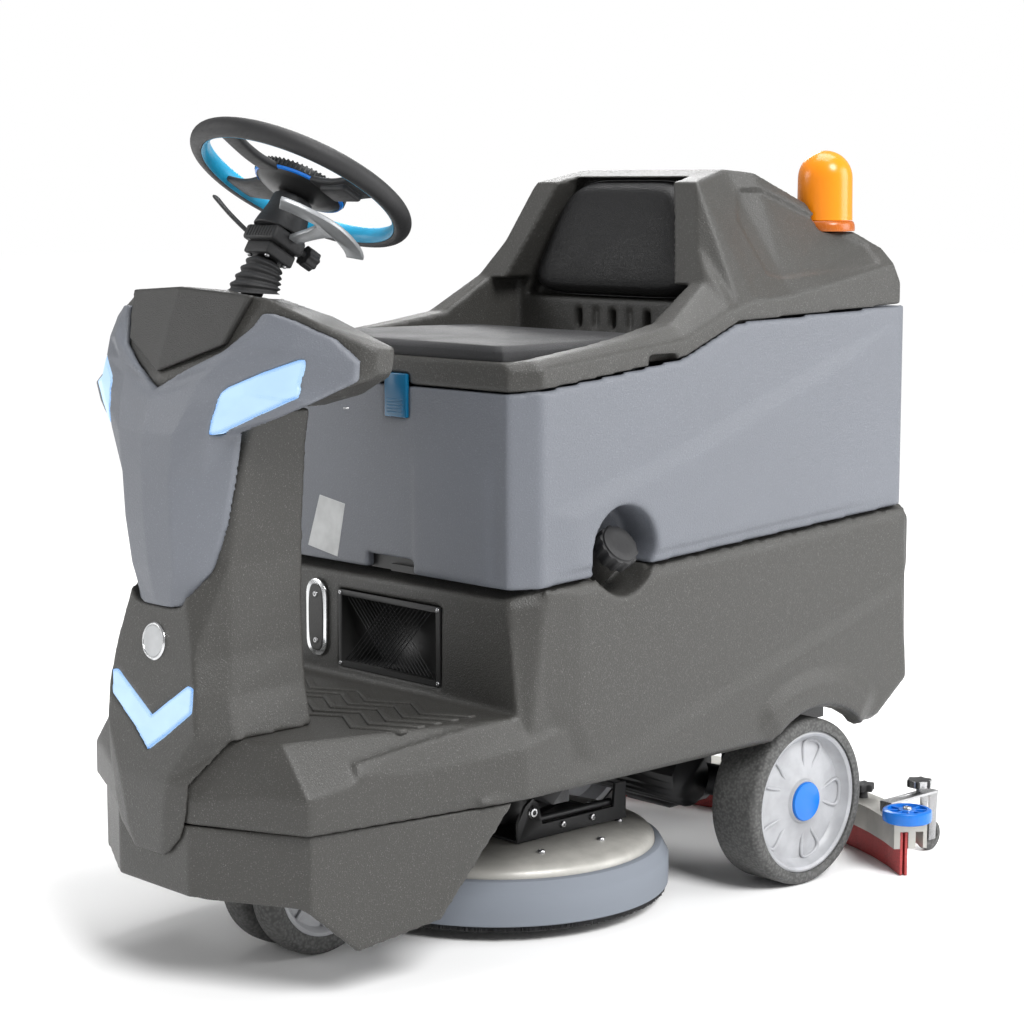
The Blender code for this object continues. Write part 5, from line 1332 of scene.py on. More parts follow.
@dataclass
class FilterBay:
    """Filter opening in the front of the plinth, with its mesh and the oval catch plate beside it."""

    shop: Shop
    pitch: float = 0.0085
    wire: float = 0.0008
    reach: float = 0.095
    border: float = 0.009
    catch_x: float = -0.146
    catch_z: float = 0.427

    def build(self) -> None:
        """Make the bay's pieces."""
        shop = self.shop
        shop.carry("filter_basket", Palette.BLACK, CHASSIS, 30, "filter_frame")
        low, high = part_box("filter_basket")
        for index, lean in enumerate((1, -1)):
            bar = swept([(0.0, 0.0, 0.0), (lean * self.reach, 0.0, self.reach)], self.wire, 4)
            shift = low[0] + self.border + (0.0 if lean > 0 else self.reach)
            count = int((high[0] - low[0] - 2 * self.border - self.reach) / self.pitch)
            row = Repeater(Pattern.ROW, count, step=(self.pitch, 0.0, 0.0)).run(bar, Palette.SOFT_BLACK)
            moved(row, at(shift, fore(0.156) + index * 0.0012, low[2] + 0.0085))
            shop.publish(f"filter_mesh_{index}", row, Palette.SOFT_BLACK, CHASSIS)
        heads = merged(*(moved(screw_head(0.0032, 0.0016), at(x, low[1], z) @ tipped(90, "X"))
                         for x in (low[0] + 0.0042, high[0] - 0.0042) for z in (low[2] + 0.0042, high[2] - 0.0042)))
        shop.publish("filter_screws", heads, Palette.ZINC, CHASSIS)
        oval = eased(shop.copy("latch_plate"), 0.0012, 2)
        shop.publish("catch_plate", oval, Palette.CHROME, CHASSIS, ("latch_plate",))
        inner = [(self.catch_x + x, self.catch_z + z) for x, z in superellipse(0.0165, 0.049, 3.2, 48)]
        plate = eased(prism(inner, "Y", fore(0.1444), fore(0.1460)), 0.0004, 1)
        shop.publish("catch_plate_face", plate, Palette.TRIM, CHASSIS)
        heads = merged(*(moved(screw_head(0.0045, 0.0022), at(self.catch_x, fore(0.1446), z) @ tipped(90, "X"))
                         for z in (0.393, 0.461)))
        shop.publish("catch_plate_screws", heads, Palette.ZINC, CHASSIS)


@dataclass
class Seat:
    """Seat pad and backrest cushion."""

    shop: Shop
    pad_low: float = 0.8159
    pad_chamfer: float = 0.010
    back_depth: float = 0.052
    back_z: float = 0.968
    back_half: float = 0.085
    piping: float = 0.0016

    def build(self) -> None:
        """Make both cushions."""
        self.pad()
        self.back()

    def pad(self) -> None:
        """Flat pad with a chamfered edge and a slight crown."""
        half = [(0.0, 0.1585), (0.120, 0.1585), (0.200, 0.1590), (0.226, 0.1630), (0.2325, 0.175), (0.2345, 0.230),
                (0.2355, 0.300), (0.226, 0.370), (0.216, 0.430), (0.207, 0.470), (0.200, 0.487), (0.186, 0.497),
                (0.150, 0.5045), (0.0, 0.5045)]
        path = smooth_path([(x, fore(y), 0.0) for x, y in half], 5)
        right = [(p.x, p.y) for p in path]
        loop = right + [(-x, y) for x, y in reversed(right[1:-1])]
        centre = Vector((0.0, fore(0.330)))
        levels = ((0.000, 0.0), (0.0015, -0.0008), (0.0110, -0.0008), (0.0130, 0.0010), (0.0195, self.pad_chamfer),
                  (0.0205, self.pad_chamfer + 0.004), (0.0207, 0.060), (0.0210, 0.120))
        sections = []
        for rise, inset in levels:
            section = []
            for x, y in loop:
                spoke = Vector((x, y)) - centre
                reach = max(0.02, spoke.length - max(inset, 0.0) * 1.15)
                point = centre + spoke.normalized() * reach
                section.append((point.x, point.y, self.pad_low + rise))
            sections.append(section)
        piece = self.shop.publish("seat_pad_cover", loft(sections), Palette.PAD, SEAT_BODY, ("seat_pad",), 60)

    def back(self) -> None:
        """Rounded backrest cushion, crowned at the front."""
        sections = []
        profile = [(0.0, 0.000), (0.0, 0.012)]
        for k in range(1, 8):
            angle = math.radians(90 * k / 8)
            profile.append((0.020 * (1 - math.cos(angle)), 0.012 + (self.back_depth - 0.020) * math.sin(angle)))
        profile += [(0.030, self.back_depth - 0.0052), (0.050, self.back_depth - 0.0030),
                    (0.080, self.back_depth - 0.0005)]
        outline = superellipse(1.0, 1.0, 5.5, 72)
        for inset, depth in profile:
            half = max(0.004, self.back_half - inset)
            sections.append([self.back_place(u, v * half, -inset, depth) for u, v in outline])
        piece = self.shop.publish("backrest_cushion", loft(sections), Palette.VINYL, SEAT_BODY, ("backrest",), 80)
        cord = []
        for u, v in outline:
            point = Vector(self.back_place(u, v * (self.back_half + 0.0015), 0.0008, 0.0135))
            out = Vector((point.x, 0.0, point.z - self.back_z)).normalized() * self.piping
            cord.append([point + Vector((0.0, self.piping * math.cos(a), 0.0)) + out * math.sin(a) for a in angles(6)])
        self.shop.publish("backrest_piping", loft(cord, ring=True), Palette.SOFT_BLACK, SEAT_BODY, angle=80)

    def back_place(self, u: float, rise: float, spread: float, depth: float) -> Point:
        """Place on the backrest, which narrows upwards and leans back.

        Args:
            u: Share of the half width, from -1 to 1.
            rise: Height over the cushion's middle.
            spread: Added to the half width.
            depth: Distance in front of the cushion's back.

        Returns:
            The place.
        """
        z = self.back_z + rise
        width = 0.183 + (0.116 - 0.183) * (z - 0.883) / 0.170
        return u * max(0.006, width + spread), fore(0.6305) + (z - 0.878) * 0.2247 - depth, z


@dataclass
class SteeringGear:
    """Everything on the raked column."""

    shop: Shop
    rim_radius: float = 0.1455
    tube: float = 0.0133
    lever_half: float = 0.0034

    def on_column(self, bm: bmesh.types.BMesh) -> bmesh.types.BMesh:
        """Carry a mesh from the column's own frame to its place."""
        return moved(bm, COLUMN_PLACE)

    def build(self) -> None:
        """Make the column's pieces."""
        self.boot()
        self.clamp()
        self.paddle()
        self.lever()
        self.wheel()
        for node, body in (("column_tube", COLUMN_BODY), ("tilt_bracket", CHASSIS), ("lower_shaft", "steering_shaft"),
                           ("steering_chain", CHASSIS)):
            self.shop.carry(node, Palette.STEEL, body)

    def boot(self) -> None:
        """Bellows with rounded ribs."""
        sections = []
        levels = 61
        axis = Vector((0.0, math.sin(COLUMN_RAKE), math.cos(COLUMN_RAKE)))
        for k in range(levels):
            share = k / (levels - 1)
            lean = -COLUMN_RAKE * share - math.radians(4.0) * (1 - share)
            foot = Matrix.Translation(COLUMN_FOOT + axis * (-0.007 + 0.0455 * share))
            place = foot @ Matrix.Rotation(lean, 4, "X")
            wave = 0.5 - 0.5 * math.cos(math.tau * 4.5 * share)
            radius = 0.0362 + (0.0245 - 0.0362) * share - 0.0040 * wave
            sections.append([place @ Vector((*polar(radius, angle), 0.0)) for angle in angles(48)])
        bellows = self.shop.publish("bellows", loft(sections), Palette.SMOOTH_RUBBER, "", ("column_boot",), 50)
        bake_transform(bellows)

    def clamp(self) -> None:
        """Clamp block, switch block and cast head."""
        bore = turned([(0.0, -0.1), (0.0145, -0.1), (0.0145, 0.3), (0.0, 0.3)], 32)
        lower = eased(block((-0.0258, -0.0238, 0.0428), (0.0258, 0.0238, 0.0605)), 0.003)
        upper = eased(block((-0.0338, -0.0298, 0.0606), (0.0338, 0.0258, 0.0818)), 0.0045)
        block_mesh = self.shop.carved(self.shop.carved(lower, [upper], "UNION"), [bore])
        self.shop.publish("switch_block", self.on_column(block_mesh), Palette.SOFT_BLACK, COLUMN_BODY,
                          ("column_clamp",))
        rib = block((-0.0009, -0.0304, 0.064), (0.0009, -0.0296, 0.0785))
        ribs = Repeater(Pattern.ROW, 9, step=(0.006, 0.0, 0.0)).run(rib, Palette.BLACK)
        self.shop.publish("switch_ribs", self.on_column(moved(ribs, at(-0.024, 0.0, 0.0))), Palette.BLACK, COLUMN_BODY)
        profile = [(0.0146, 0.0828), (0.0355, 0.0828), (0.0365, 0.0845), (0.0350, 0.0930), (0.0320, 0.1040),
                   (0.0295, 0.1150), (0.0285, 0.1250), (0.0275, 0.1320), (0.0262, 0.1333), (0.0146, 0.1333)]
        self.shop.publish("column_sleeve", self.on_column(turned(profile, 48, closed=True)), Palette.SOFT_BLACK,
                          COLUMN_BODY, ("column_head",))
        bolts = merged(*(moved(screw_head(0.0036, 0.003), at(x, y, 0.0428) @ tipped(180, "X"))
                         for x in (-0.019, 0.019) for y in (-0.016, 0.016)))
        self.shop.publish("clamp_bolts", self.on_column(bolts), Palette.ZINC, COLUMN_BODY)
        grip = eased(prism(lobed(0.0138, 0.0011, 8, 64), "Z", 0.0, 0.0195), 0.0018, 2, 50)
        stem = turned([(0.0, -0.010), (0.005, -0.010), (0.005, 0.001), (0.0, 0.001)], 20)
        knob = moved(merged(grip, stem), at(0.020, 0.0364, 0.0712) @ tipped(-90, "X"))
        self.shop.publish("rake_knob", self.on_column(knob), Palette.SOFT_BLACK, "tilt_knob", ("tilt_knob",))

    def paddle(self) -> None:
        """Silver anchor-shaped paddle under the rim."""
        inner, outer, sweep = 0.098, 0.1215, math.radians(41)
        root = 0.17
        edge = [polar(outer, -sweep + 2 * sweep * k / 20) for k in range(21)]
        back = [polar(inner, sweep - (sweep - root) * k / 8) for k in range(9)]
        stem = [(0.088, 0.0125, 0), (0.072, 0.0100, 0), (0.052, 0.0092, 0), (0.0366, 0.0078, 0)]
        neck = smooth_path([(*polar(inner, root), 0), *stem], 3)
        right = back + [(p.x, p.y) for p in neck[1:]]
        outline = edge + right + [(x, -y) for x, y in reversed(right)]
        blade = eased(prism(outline, "Z", -0.0034, 0.0034), 0.0014, 2, 40)
        for vertex in blade.verts:
            if math.hypot(vertex.co.x, vertex.co.y) > 0.09:
                vertex.co.z += 0.010 * max(0.0, abs(math.atan2(vertex.co.y, vertex.co.x)) - 0.35)
        lift = at(0.0, 0.0, 0.066) @ tipped(-14, "Y")
        self.shop.publish("drive_paddle", self.on_column(moved(blade, lift)), Palette.PADDLE, "throttle_paddle",
                          ("throttle_paddle",), 40)

    def lever(self) -> None:
        """Thin lever with a paddle tip."""
        path = smooth_path([(-0.0348, 0.0, 0.071), (-0.062, -0.010, 0.083), (-0.096, -0.022, 0.101),
                            (-0.124, -0.0315, 0.1180)], 6)
        sections = []
        for i, point in enumerate(path):
            share = i / (len(path) - 1)
            half = 0.0040 + 0.0026 * math.sin(math.pi * min(1.0, share * 1.1)) + 0.0040 * max(0.0, share - 0.75) * 4
            sections.append([point + Vector((0.0, half * math.cos(a), self.lever_half * math.sin(a)))
                             for a in angles(12)])
        self.shop.publish("forward_reverse_lever", self.on_column(loft(sections)), Palette.SOFT_BLACK,
                          "direction_lever", ("direction_lever",), 60)

    def wheel(self) -> None:
        """Grip, lining, spokes and ribbed hub."""
        plane = COLUMN_LENGTH
        grip = []
        for k in range(20):
            angle = math.radians(-118 + 236 * k / 19)
            grip.append((self.rim_radius + self.tube * math.cos(angle), plane + self.tube * math.sin(angle)))
        self.shop.publish("wheel_grip", self.on_column(turned(grip, 96, closed=True)), Palette.SOFT_BLACK, WHEEL_BODY,
                          ("steering_rim",), 60)
        lining = []
        for k in range(11):
            angle = math.radians(120 + 120 * k / 10)
            lining.append((self.rim_radius + 0.0004 + (self.tube + 0.0004) * math.cos(angle),
                           plane + (self.tube + 0.0004) * math.sin(angle)))
        lining = [(min(r, self.rim_radius - 0.0070), z) for r, z in lining]
        self.shop.publish("wheel_lining", self.on_column(turned(lining, 96, closed=True)), Palette.LINING, WHEEL_BODY,
                          ("rim_insert",), 60)
        dish = [(0.0, plane - 0.0235), (0.0190, plane - 0.0235), (0.0205, plane - 0.0215), (0.0320, plane - 0.0205),
                (0.0500, plane - 0.0140), (0.0615, plane - 0.0080), (0.0630, plane - 0.0055), (0.0625, plane + 0.0040),
                (0.0560, plane + 0.0070), (0.0300, plane + 0.0084), (0.0, plane + 0.0086)]
        self.shop.publish("hub_dish", self.on_column(turned(dish, 64)), Palette.BLACK, WHEEL_BODY, ("wheel_hub",), 40)
        rib = eased(block((0.0610, -0.0013, -0.0050), (0.0650, 0.0013, 0.0050)), 0.0004, 1)
        ring = Repeater(Pattern.RING, 60).run(rib, Palette.BLACK)
        self.shop.publish("hub_ribs", self.on_column(moved(ring, at(0, 0, plane))), Palette.BLACK, WHEEL_BODY)
        band = turned([(0.0600, plane - 0.0095), (0.0625, plane - 0.0085), (0.0640, plane - 0.0058),
                       (0.0600, plane - 0.0055)], 64, closed=True)
        self.shop.publish("hub_band", self.on_column(band), Palette.BLUE, WHEEL_BODY)
        shaft = turned([(0.0, -0.0685), (0.0088, -0.0685), (0.0088, plane - 0.022), (0.0, plane - 0.022)], 24)
        self.shop.publish("upper_shaft", self.on_column(shaft), Palette.STEEL, WHEEL_BODY)
        arms = []
        for degrees, half in ((0, 0.021), (180, 0.021), (270, 0.015)):
            sections = []
            for k in range(13):
                share = k / 12
                x = 0.040 + (0.1325 - 0.040) * share
                width = half * (1.0 + 0.55 * (1 - share) ** 2 + 0.25 * share ** 3)
                drop = -0.0035 - 0.0045 * math.sin(math.pi * share)
                thick = 0.0058 - 0.0012 * share
                sections.append([(x, width * u, plane + drop + thick * v) for u, v in superellipse(1.0, 1.0, 3.5, 20)])
            arms.append(moved(loft(sections), tipped(degrees, "Z")))
        pod = eased(block((0.066, -0.017, plane - 0.0185), (0.118, 0.017, plane - 0.006)), 0.004)
        self.shop.publish("wheel_spokes", self.on_column(merged(*arms, pod)), Palette.SOFT_BLACK, WHEEL_BODY, angle=50)


@dataclass
class Wheels:
    """Rear drive wheels and the twin front wheels."""

    shop: Shop
    tyre_radius: float = 0.127
    rim_radius: float = 0.108
    width: float = 0.087
    front_radius: float = 0.105
    front_width: float = 0.0435

    def build(self) -> None:
        """Make all four wheels, the axle and the fork."""
        for side, name in SIDES:
            self.rear(side, name)
            self.front(side, name)
        self.shop.carry("transaxle", Palette.STEEL, CHASSIS, 30)
        self.shop.carry("front_fork", Palette.STEEL, "fork", 30)
        self.shop.carry("frame", Palette.STEEL, CHASSIS, 30, "ladder_frame")
        self.shop.carry("battery_pack", Palette.BLACK, CHASSIS, 30)
        self.shop.carry("lift_actuator", Palette.ZINC, CHASSIS, 30)

    def rear(self, side: int, name: str) -> None:
        """One rear wheel: tyre, rim with petal loops, hub cap.

        Args:
            side: 1 for the left, -1 for the right.
            name: Name of the side.
        """
        body = "rear_" + name
        half = self.width / 2
        centre = (side * (HALF - half), REAR_AXLE_Y, self.tyre_radius)
        shoulder = [(self.rim_radius, -half + 0.0005), (self.tyre_radius - 0.010, -half),
                    (self.tyre_radius - 0.0045, -half + 0.0018), (self.tyre_radius - 0.0010, -half + 0.0060),
                    (self.tyre_radius - 0.0001, -half + 0.0110)]
        profile = shoulder + [(r, -h) for r, h in reversed(shoulder)]
        self.shop.publish("drive_tyre_" + name, spun_x(turned(profile, 96, closed=True), centre, side), Palette.TYRE,
                          body, ("rear_tyre_" + name,), 60)
        edge = self.rim_radius - 0.0004
        face = half - 0.004
        rim = [(0.0, -half + 0.006), (0.030, -half + 0.006), (0.034, -0.010), (edge - 0.014, -0.010),
               (edge - 0.008, -half + 0.006), (edge, -half + 0.004), (edge, face), (edge - 0.0035, face + 0.0012),
               (edge - 0.0075, face - 0.001), (edge - 0.0110, face - 0.011), (edge - 0.0180, face - 0.0165),
               (0.062, face - 0.0150), (0.040, face - 0.0100), (0.0345, face - 0.0080), (0.0320, face - 0.0040),
               (0.0, face - 0.0040)]
        self.shop.publish("rim_dish_" + name, spun_x(turned(rim, 96), centre, side), Palette.RIM, body,
                          ("rear_rim_" + name,), 38)
        loop = smooth_path([(0.0400, 0.0055, 0.0), (0.0560, 0.0110, 0.0), (0.0760, 0.0185, 0.0), (0.0860, 0.0190, 0.0),
                            (0.0915, 0.0120, 0.0), (0.0930, 0.0, 0.0), (0.0915, -0.0120, 0.0), (0.0860, -0.0190, 0.0),
                            (0.0760, -0.0185, 0.0), (0.0560, -0.0110, 0.0), (0.0400, -0.0055, 0.0)], 4)
        bar = swept([(p.x, p.y, 0.0) for p in loop], 0.0027, 8)
        petals = Repeater(Pattern.RING, 5, phase=0.3).run(bar, Palette.RIM)
        moved(petals, at(0.0, 0.0, face - 0.0150))
        self.shop.publish("rim_petals_" + name, spun_x(petals, centre, side), Palette.RIM, body, angle=60)
        cap = turned([(0.0, face - 0.0045), (0.0295, face - 0.0045), (0.0300, face - 0.0020), (0.0285, face + 0.0006),
                      (0.0180, face + 0.0022), (0.0, face + 0.0026)], 64)
        self.shop.publish("hub_cap_" + name, spun_x(cap, centre, side), Palette.BLUE, body, angle=50)

    def front(self, side: int, name: str) -> None:
        """One of the twin front wheels.

        Args:
            side: 1 for the left, -1 for the right.
            name: Name of the side.
        """
        body = "front_" + name
        half = self.front_width / 2
        centre = (side * (0.0125 + half), FRONT_AXLE_Y, self.front_radius)
        shoulder = [(0.078, -half + 0.001), (self.front_radius - 0.011, -half),
                    (self.front_radius - 0.0045, -half + 0.0030), (self.front_radius - 0.0010, -half + 0.0085),
                    (self.front_radius - 0.0001, -half + 0.0130)]
        profile = shoulder + [(r, -h) for r, h in reversed(shoulder)]
        self.shop.publish("steer_tyre_" + name, spun_x(turned(profile, 80, closed=True), centre, side), Palette.TYRE,
                          body, ("front_wheel_" + name,), 60)
        rim = [(0.0086, -half + 0.002), (0.0776, -half + 0.002), (0.0776, half - 0.001), (0.0730, half),
               (0.0690, half - 0.003), (0.0660, half - 0.012), (0.0300, half - 0.013), (0.0240, half - 0.006),
               (0.0200, half - 0.003), (0.0086, half - 0.003)]
        self.shop.publish("steer_rim_" + name, spun_x(turned(rim, 64, closed=True), centre, side), Palette.RIM, body,
                          angle=38)
        web = eased(block((0.022, -0.003, -0.003), (0.068, 0.003, 0.004)), 0.0012, 1)
        ring = Repeater(Pattern.RING, 8).run(web, Palette.RIM)
        moved(ring, at(0.0, 0.0, half - 0.012))
        self.shop.publish("steer_webs_" + name, spun_x(ring, centre, side), Palette.RIM, body)


@dataclass
class BrushDeck:
    """Dome, skirt, bristles, bracket and motor."""

    shop: Shop
    tufts: int = 9000

    def at_brush(self, bm: bmesh.types.BMesh) -> bmesh.types.BMesh:
        """Carry a mesh to the brush's axis."""
        return moved(bm, at(0.0, BRUSH_Y, 0.0))

    def build(self) -> None:
        """Make the deck's pieces."""
        shop = self.shop
        dome = [(0.024, 0.1143), (0.110, 0.1140), (0.150, 0.1122), (0.190, 0.1080), (0.2150, 0.1035), (0.2250, 0.0995),
                (0.2300, 0.0940), (0.2313, 0.0860), (0.2313, 0.0725), (0.2280, 0.0725), (0.2270, 0.0900),
                (0.2190, 0.0975), (0.190, 0.1035), (0.110, 0.1098), (0.024, 0.1100)]
        shop.publish("dome_cover", self.at_brush(turned(dome, 128, closed=True)), Palette.DOME, DECK_BODY,
                     ("brush_cover",), 45)
        skirt = [(0.2318, 0.0875), (0.2375, 0.0878), (0.2410, 0.0862), (0.2450, 0.0790), (0.2490, 0.0715),
                 (0.2516, 0.0670), (0.2518, 0.0420), (0.2512, 0.0260), (0.2495, 0.0242), (0.2465, 0.0245),
                 (0.2465, 0.0690), (0.2318, 0.0748)]
        shop.publish("rubber_skirt", self.at_brush(turned(skirt, 128, closed=True)), Palette.SKIRT, DECK_BODY,
                     ("splash_skirt",), 35)
        ring = Repeater(Pattern.RING, 10, radius=0.178, phase=0.22).run(screw_head(0.0062, 0.0042), Palette.ZINC)
        moved(ring, at(0.0, BRUSH_Y, 0.1090))
        shop.publish("dome_bolts", ring, Palette.ZINC, DECK_BODY)
        shop.carry("brush_disc", Palette.BLUE, "brush", 30)
        core = turned([(0.080, 0.0175), (0.2320, 0.0175), (0.2360, 0.0444), (0.080, 0.0444)], 64, closed=True)
        shop.publish("bristle_core", self.at_brush(core), Palette.FIBRE, "brush", ("bristle_ring",))
        tuft = bmesh.new()
        bmesh.ops.create_cone(tuft, segments=4, radius1=0.0006, radius2=0.0011, depth=0.028, cap_ends=True)
        moved(tuft, at(0.0, 0.0, -0.014))
        fringe = Repeater(Pattern.FIELD, self.tufts, radius=0.2462, inner=0.2270, lean=0.06).run(tuft, Palette.FIBRE)
        moved(fringe, at(0.0, BRUSH_Y, 0.0440))
        shop.publish("bristle_fringe", fringe, Palette.FIBRE, "brush")
        shop.carry("brush_bracket", Palette.STEEL, DECK_BODY, 30, "deck_channel")
        shop.carry("brush_motor", Palette.BLACK, DECK_BODY, 30)
        bolts = []
        for side in (-1, 1):
            for y, z, r in ((-0.050, 0.1559, 0.0088), (0.070, 0.128, 0.0052), (0.010, 0.128, 0.0052)):
                bolts.append(spun_x(screw_head(r, 0.0042), (side * 0.1242, BRUSH_Y + y, z), side))
        shop.publish("bracket_bolts", merged(*bolts), Palette.ZINC, DECK_BODY)
        ends = (BRUSH_Y + 0.120, BRUSH_Y - 0.040)
        links = [swept([(side * 0.112, y, 0.140) for y in ends], 0.006, 12) for side in (-1, 1)]
        shop.publish("bracket_rods", merged(*links), Palette.STEEL, DECK_BODY)


@dataclass
class Squeegee:
    """Curved trailing squeegee with its rollers, casters and knobs."""

    shop: Shop
    caster_x: float = 0.288

    def build(self) -> None:
        """Make the squeegee's pieces."""
        shop = self.shop
        shop.carry("squeegee_channel", Palette.EXTRUSION, SQUEEGEE_BODY, 20)
        shop.carry("front_blade", Palette.BLADE, SQUEEGEE_BODY, 20)
        shop.carry("rear_blade", Palette.BLADE, SQUEEGEE_BODY, 20)
        shop.carry("squeegee_arm", Palette.STEEL, SQUEEGEE_BODY, 30)
        for side, name in SIDES:
            self.corner(side, name)

    def corner(self, side: int, name: str) -> None:
        """Roller, caster and star knobs at one end.

        Args:
            side: 1 for the left, -1 for the right.
            name: Name of the side.
        """
        shop = self.shop
        low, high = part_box("roller_" + name)
        middle = ((low[0] + high[0]) / 2, (low[1] + high[1]) / 2)
        h = low[2]
        profile = [(0.0, 0.0), (0.0340, 0.0), (0.0372, 0.0022), (0.0379, 0.0060), (0.0379, 0.0140), (0.0372, 0.0178),
                   (0.0340, 0.0198), (0.0300, 0.0198), (0.0290, 0.0150), (0.0150, 0.0150), (0.0135, 0.0190),
                   (0.0, 0.0190)]
        shop.publish("bumper_roller_" + name, moved(turned(profile, 64), at(*middle, h)), Palette.BLUE,
                     "roller_" + name, ("roller_" + name,), 35)
        web = eased(block((0.014, -0.0016, 0.0145), (0.0295, 0.0016, 0.0185)), 0.0005, 1)
        ring = Repeater(Pattern.RING, 8).run(web, Palette.BLUE)
        shop.publish("roller_webs_" + name, moved(ring, at(*middle, h)), Palette.BLUE, "roller_" + name)
        shop.publish("roller_nut_" + name, moved(screw_head(0.0070, 0.0046), at(*middle, h + 0.0185)), Palette.ZINC,
                     "roller_" + name)
        shop.carry("caster_bracket_" + name, Palette.ZINC, SQUEEGEE_BODY, 30)
        low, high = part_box("caster_wheel_" + name)
        centre = (side * self.caster_x, (low[1] + high[1]) / 2, (low[2] + high[2]) / 2)
        tread = [(0.0030, -0.0070), (0.0215, -0.0070), (0.0234, -0.0056), (0.02395, -0.0030), (0.02395, 0.0030),
                 (0.0234, 0.0056), (0.0215, 0.0070), (0.0150, 0.0070), (0.0140, 0.0050), (0.0080, 0.0050),
                 (0.0070, 0.0072), (0.0030, 0.0072)]
        shop.publish("caster_tyre_" + name, spun_x(turned(tread, 48, closed=True), centre, side), Palette.TYRE,
                     "caster_wheel_" + name, ("caster_wheel_" + name,), 40)
        knob_y = centre[1] - 0.026
        knobs = (("rear", side * self.caster_x, knob_y, 0.1060, 1.0),
                 ("front", side * 0.205, self.saddle(0.205), 0.0802, 0.92))
        for label, x, y, z, size in knobs:
            top = eased(prism(lobed(0.0175, 0.0032, 6, 72, size), "Z", 0.0, 0.0125), 0.0022, 2, 50)
            stem = turned([(0.0, -0.002), (0.0105, -0.002), (0.0090, 0.003), (0.0, 0.003)], 32)
            if label == "front":
                stem = turned([(0.0, 0.0003), (0.0085, 0.0003), (0.0070, 0.012), (0.0, 0.012)], 32)
                moved(top, at(0.0, 0.0, 0.011))
            shop.publish(f"star_knob_{label}_{name}", moved(merged(top, stem), at(x, y, z)), Palette.SOFT_BLACK,
                         SQUEEGEE_BODY, angle=45)

    @staticmethod
    def saddle(x: float) -> float:
        """Y of the middle of the extrusion at a distance from the machine's middle."""
        return aft(0.247) - 0.620 + math.sqrt(0.636 ** 2 - x * x)


@dataclass
class Beacon:
    """Amber warning beacon on the hood."""

    shop: Shop
    centre: Point = (0.200, 0.461, 0.978)
    radius: float = 0.0420

    def build(self) -> None:
        """Make the foot ring, the lens and the lamp inside it."""
        shop = self.shop
        x, y, z = self.centre
        foot = [(0.0, 0.0006), (0.0455, 0.0006), (0.0459, 0.0030), (0.0455, 0.0100), (0.0440, 0.0140), (0.0415, 0.0162),
                (0.0, 0.0162)]
        shop.publish("beacon_foot", moved(turned(foot, 72), at(x, y, z)), Palette.AMBER_FOOT, SEAT_BODY,
                     ("beacon_base",), 40)
        base = 0.0170
        top = 1.0997 - self.radius - z
        outer = [(self.radius, base), (self.radius - 0.0004, base + 0.020), (self.radius - 0.0008, top)]
        inner = [(self.radius - 0.0038, top), (self.radius - 0.0030, base)]
        rise = [math.radians(9 * k) for k in range(1, 10)]
        crown = [((self.radius - 0.0008) * math.cos(a), top + (self.radius - 0.0004) * math.sin(a)) for a in rise]
        under = [((self.radius - 0.0038) * math.cos(a), top + (self.radius - 0.0034) * math.sin(a)) for a in rise[::-1]]
        profile = outer + crown + [(0.0, top + self.radius - 0.0003), (0.0, top + self.radius - 0.0034)] + under + inner
        shop.publish("beacon_dome", moved(turned(profile, 96, closed=True), at(x, y, z)), Palette.AMBER, SEAT_BODY,
                     ("beacon_lens",), 40)
        core = turned([(0.0, 0.0165), (0.0270, 0.0165), (0.0270, 0.0960), (0.0200, 0.1060), (0.0, 0.1080)], 40)
        shop.publish("beacon_core", moved(core, at(x, y, z)), Palette.AMBER_CORE, SEAT_BODY, angle=50)
        bar = turned([(0.0255, 0.0), (0.0310, 0.0), (0.0310, 0.0060), (0.0255, 0.0060)], 40, closed=True)
        stack = Repeater(Pattern.ROW, 5, step=(0.0, 0.0, 0.0115)).run(bar, Palette.AMBER_BAR)
        shop.publish("beacon_reflector", moved(stack, at(x, y, z + 0.040)), Palette.AMBER_BAR, SEAT_BODY)


@dataclass
class Fittings:
    """Filler cap, strap and vacuum motor."""

    shop: Shop

    def build(self) -> None:
        """Make the small fittings."""
        shop = self.shop
        ribbed = [polar(0.0305 + 0.0014 * math.tanh(2.2 * math.cos(12 * angle)), angle) for angle in angles(120)]
        grip = eased(prism(ribbed, "Z", 0.0046, 0.0270), 0.0016, 2, 55)
        crown = turned([(0.0, 0.0240), (0.0285, 0.0240), (0.0272, 0.0300), (0.0200, 0.0325), (0.0150, 0.0318),
                        (0.0, 0.0322)], 64)
        shop.publish("filler_knob", moved(merged(grip, crown), CAP_PLACE), Palette.SOFT_BLACK, "filler_cap",
                     ("filler_cap",), 40)
        shop.carry("vacuum_motor", Palette.BLACK, SEAT_BODY, 30)
        low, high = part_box("strap_latch")
        strap = eased(block((low[0], low[1] + 0.001, low[2]), (high[0], high[1], high[2])), 0.0018, 2)
        shop.publish("teal_strap", strap, Palette.TEAL, "strap_latch", ("strap_latch",), 40)
        rib = block((low[0] + 0.006, low[1] + 0.0003, low[2] + 0.006),
                    (high[0] - 0.006, low[1] + 0.0016, low[2] + 0.0078))
        ribs = Repeater(Pattern.ROW, 5, step=(0.0, 0.0, 0.0045)).run(eased(rib, 0.0003, 1), Palette.TEAL)
        shop.publish("strap_ribs", ribs, Palette.TEAL, "strap_latch")


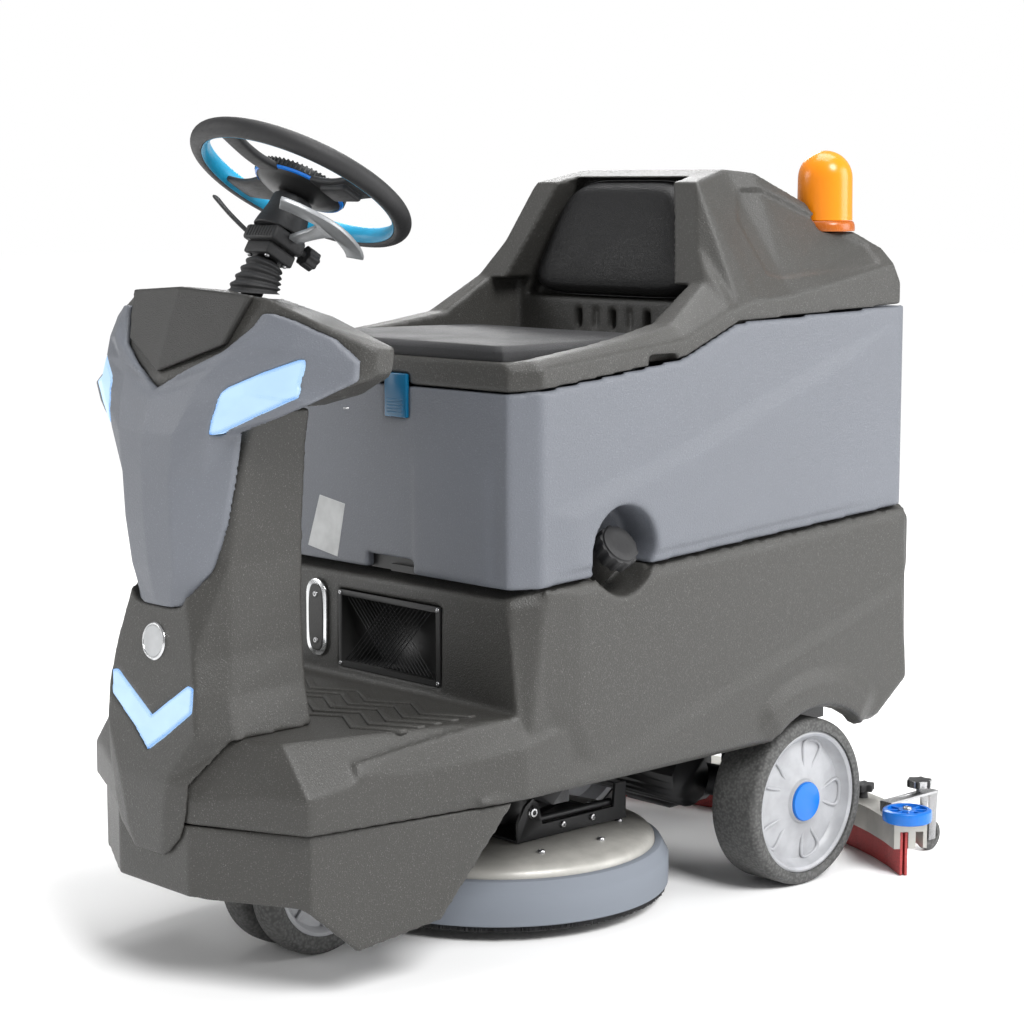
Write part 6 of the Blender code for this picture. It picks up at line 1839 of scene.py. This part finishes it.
@dataclass
class Studio:
    """Camera, floor and lights."""

    lens: float = 85.89
    place: Point = (2.593, FRONT_AXLE_Y - 2.038, 1.047)
    azimuth: float = 46.787
    pitch: float = 7.612
    ambient: float = 0.42
    sun: float = 2.9

    def build(self) -> None:
        """Set up the scene round the machine."""
        scene = bpy.context.scene
        data = bpy.data.cameras.new("view")
        data.lens = self.lens
        data.sensor_width = 36.0
        data.clip_end = 60.0
        camera = bpy.data.objects.new("view", data)
        camera.location = self.place
        camera.rotation_euler = (math.radians(90 - self.pitch), 0.0, math.radians(self.azimuth))
        scene.collection.objects.link(camera)
        scene.camera = camera
        world = bpy.data.worlds.new("studio")
        scene.world = world
        world.use_nodes = True
        background = world.node_tree.nodes["Background"]
        background.inputs["Color"].default_value = (1.0, 1.0, 1.0, 1.0)
        seen = world.node_tree.nodes.new("ShaderNodeLightPath")
        level = world.node_tree.nodes.new("ShaderNodeMix")
        level.inputs[2].default_value = self.ambient
        level.inputs[3].default_value = 1.0
        world.node_tree.links.new(seen.outputs["Is Camera Ray"], level.inputs[0])
        world.node_tree.links.new(level.outputs[0], background.inputs["Strength"])
        scene.view_settings.view_transform = "Standard"
        for name, place, size, power, aim in (
            ("front_box", (-3.0, -3.1, 1.9), 2.0, 46.0, (0.0, -0.3, 0.7)),
            ("side_box", (3.3, 3.1, 1.9), 2.6, 105.0, (0.0, 0.1, 0.5)),
            ("top_box", (-0.2, 0.8, 3.6), 2.0, 70.0, (0.0, 0.1, 0.6)),
            ("rim", (-2.6, 2.4, 2.6), 1.2, 40.0, (0.0, 0.0, 0.7)),
        ):
            light = bpy.data.lights.new(name, "AREA")
            light.energy = power
            light.size = size
            lamp = bpy.data.objects.new(name, light)
            lamp.location = place
            lamp.rotation_euler = (Vector(aim) - Vector(place)).to_track_quat("-Z", "Y").to_euler()
            scene.collection.objects.link(lamp)
        sun = bpy.data.lights.new("soft_sun", "SUN")
        sun.energy = self.sun
        sun.angle = math.radians(24.0)
        key = bpy.data.objects.new("soft_sun", sun)
        key.rotation_euler = Vector((-0.70, 0.10, -0.71)).to_track_quat("-Z", "Y").to_euler()
        scene.collection.objects.link(key)
        self.floor()

    def floor(self) -> None:
        """Plain pale floor."""
        graph = Graph("pale_floor")
        cloud = graph.noise(2.0, 2.0).span(0.3, 0.7)
        base = graph.blend(cloud, (0.955, 0.955, 0.955), (0.965, 0.965, 0.965))
        material = graph.dress({"Base Color": base}, {"Roughness": 0.9, "Specular IOR Level": 0.1})
        bm = bmesh.new()
        bmesh.ops.create_grid(bm, x_segments=1, y_segments=1, size=30.0)
        mesh = bpy.data.meshes.new("studio_floor")
        bm.to_mesh(mesh)
        bm.free()
        mesh.materials.append(material)
        plane = bpy.data.objects.new("studio_floor", mesh)
        plane.location = (0.0, 0.0, -0.0005)
        bpy.context.scene.collection.objects.link(plane)


def main() -> None:
    """Build the machine, piece by piece, and log how many pieces it has."""
    logging.basicConfig(level=logging.INFO, format="%(message)s")
    Studio().build()
    shop = Shop()
    for part in (Bodywork, FilterBay, Seat, SteeringGear, Wheels, BrushDeck, Squeegee, Beacon, Fittings):
        part(shop).build()
    LOG.info("%d pieces", len(shop.made))


if __name__ == "__main__":
    main()
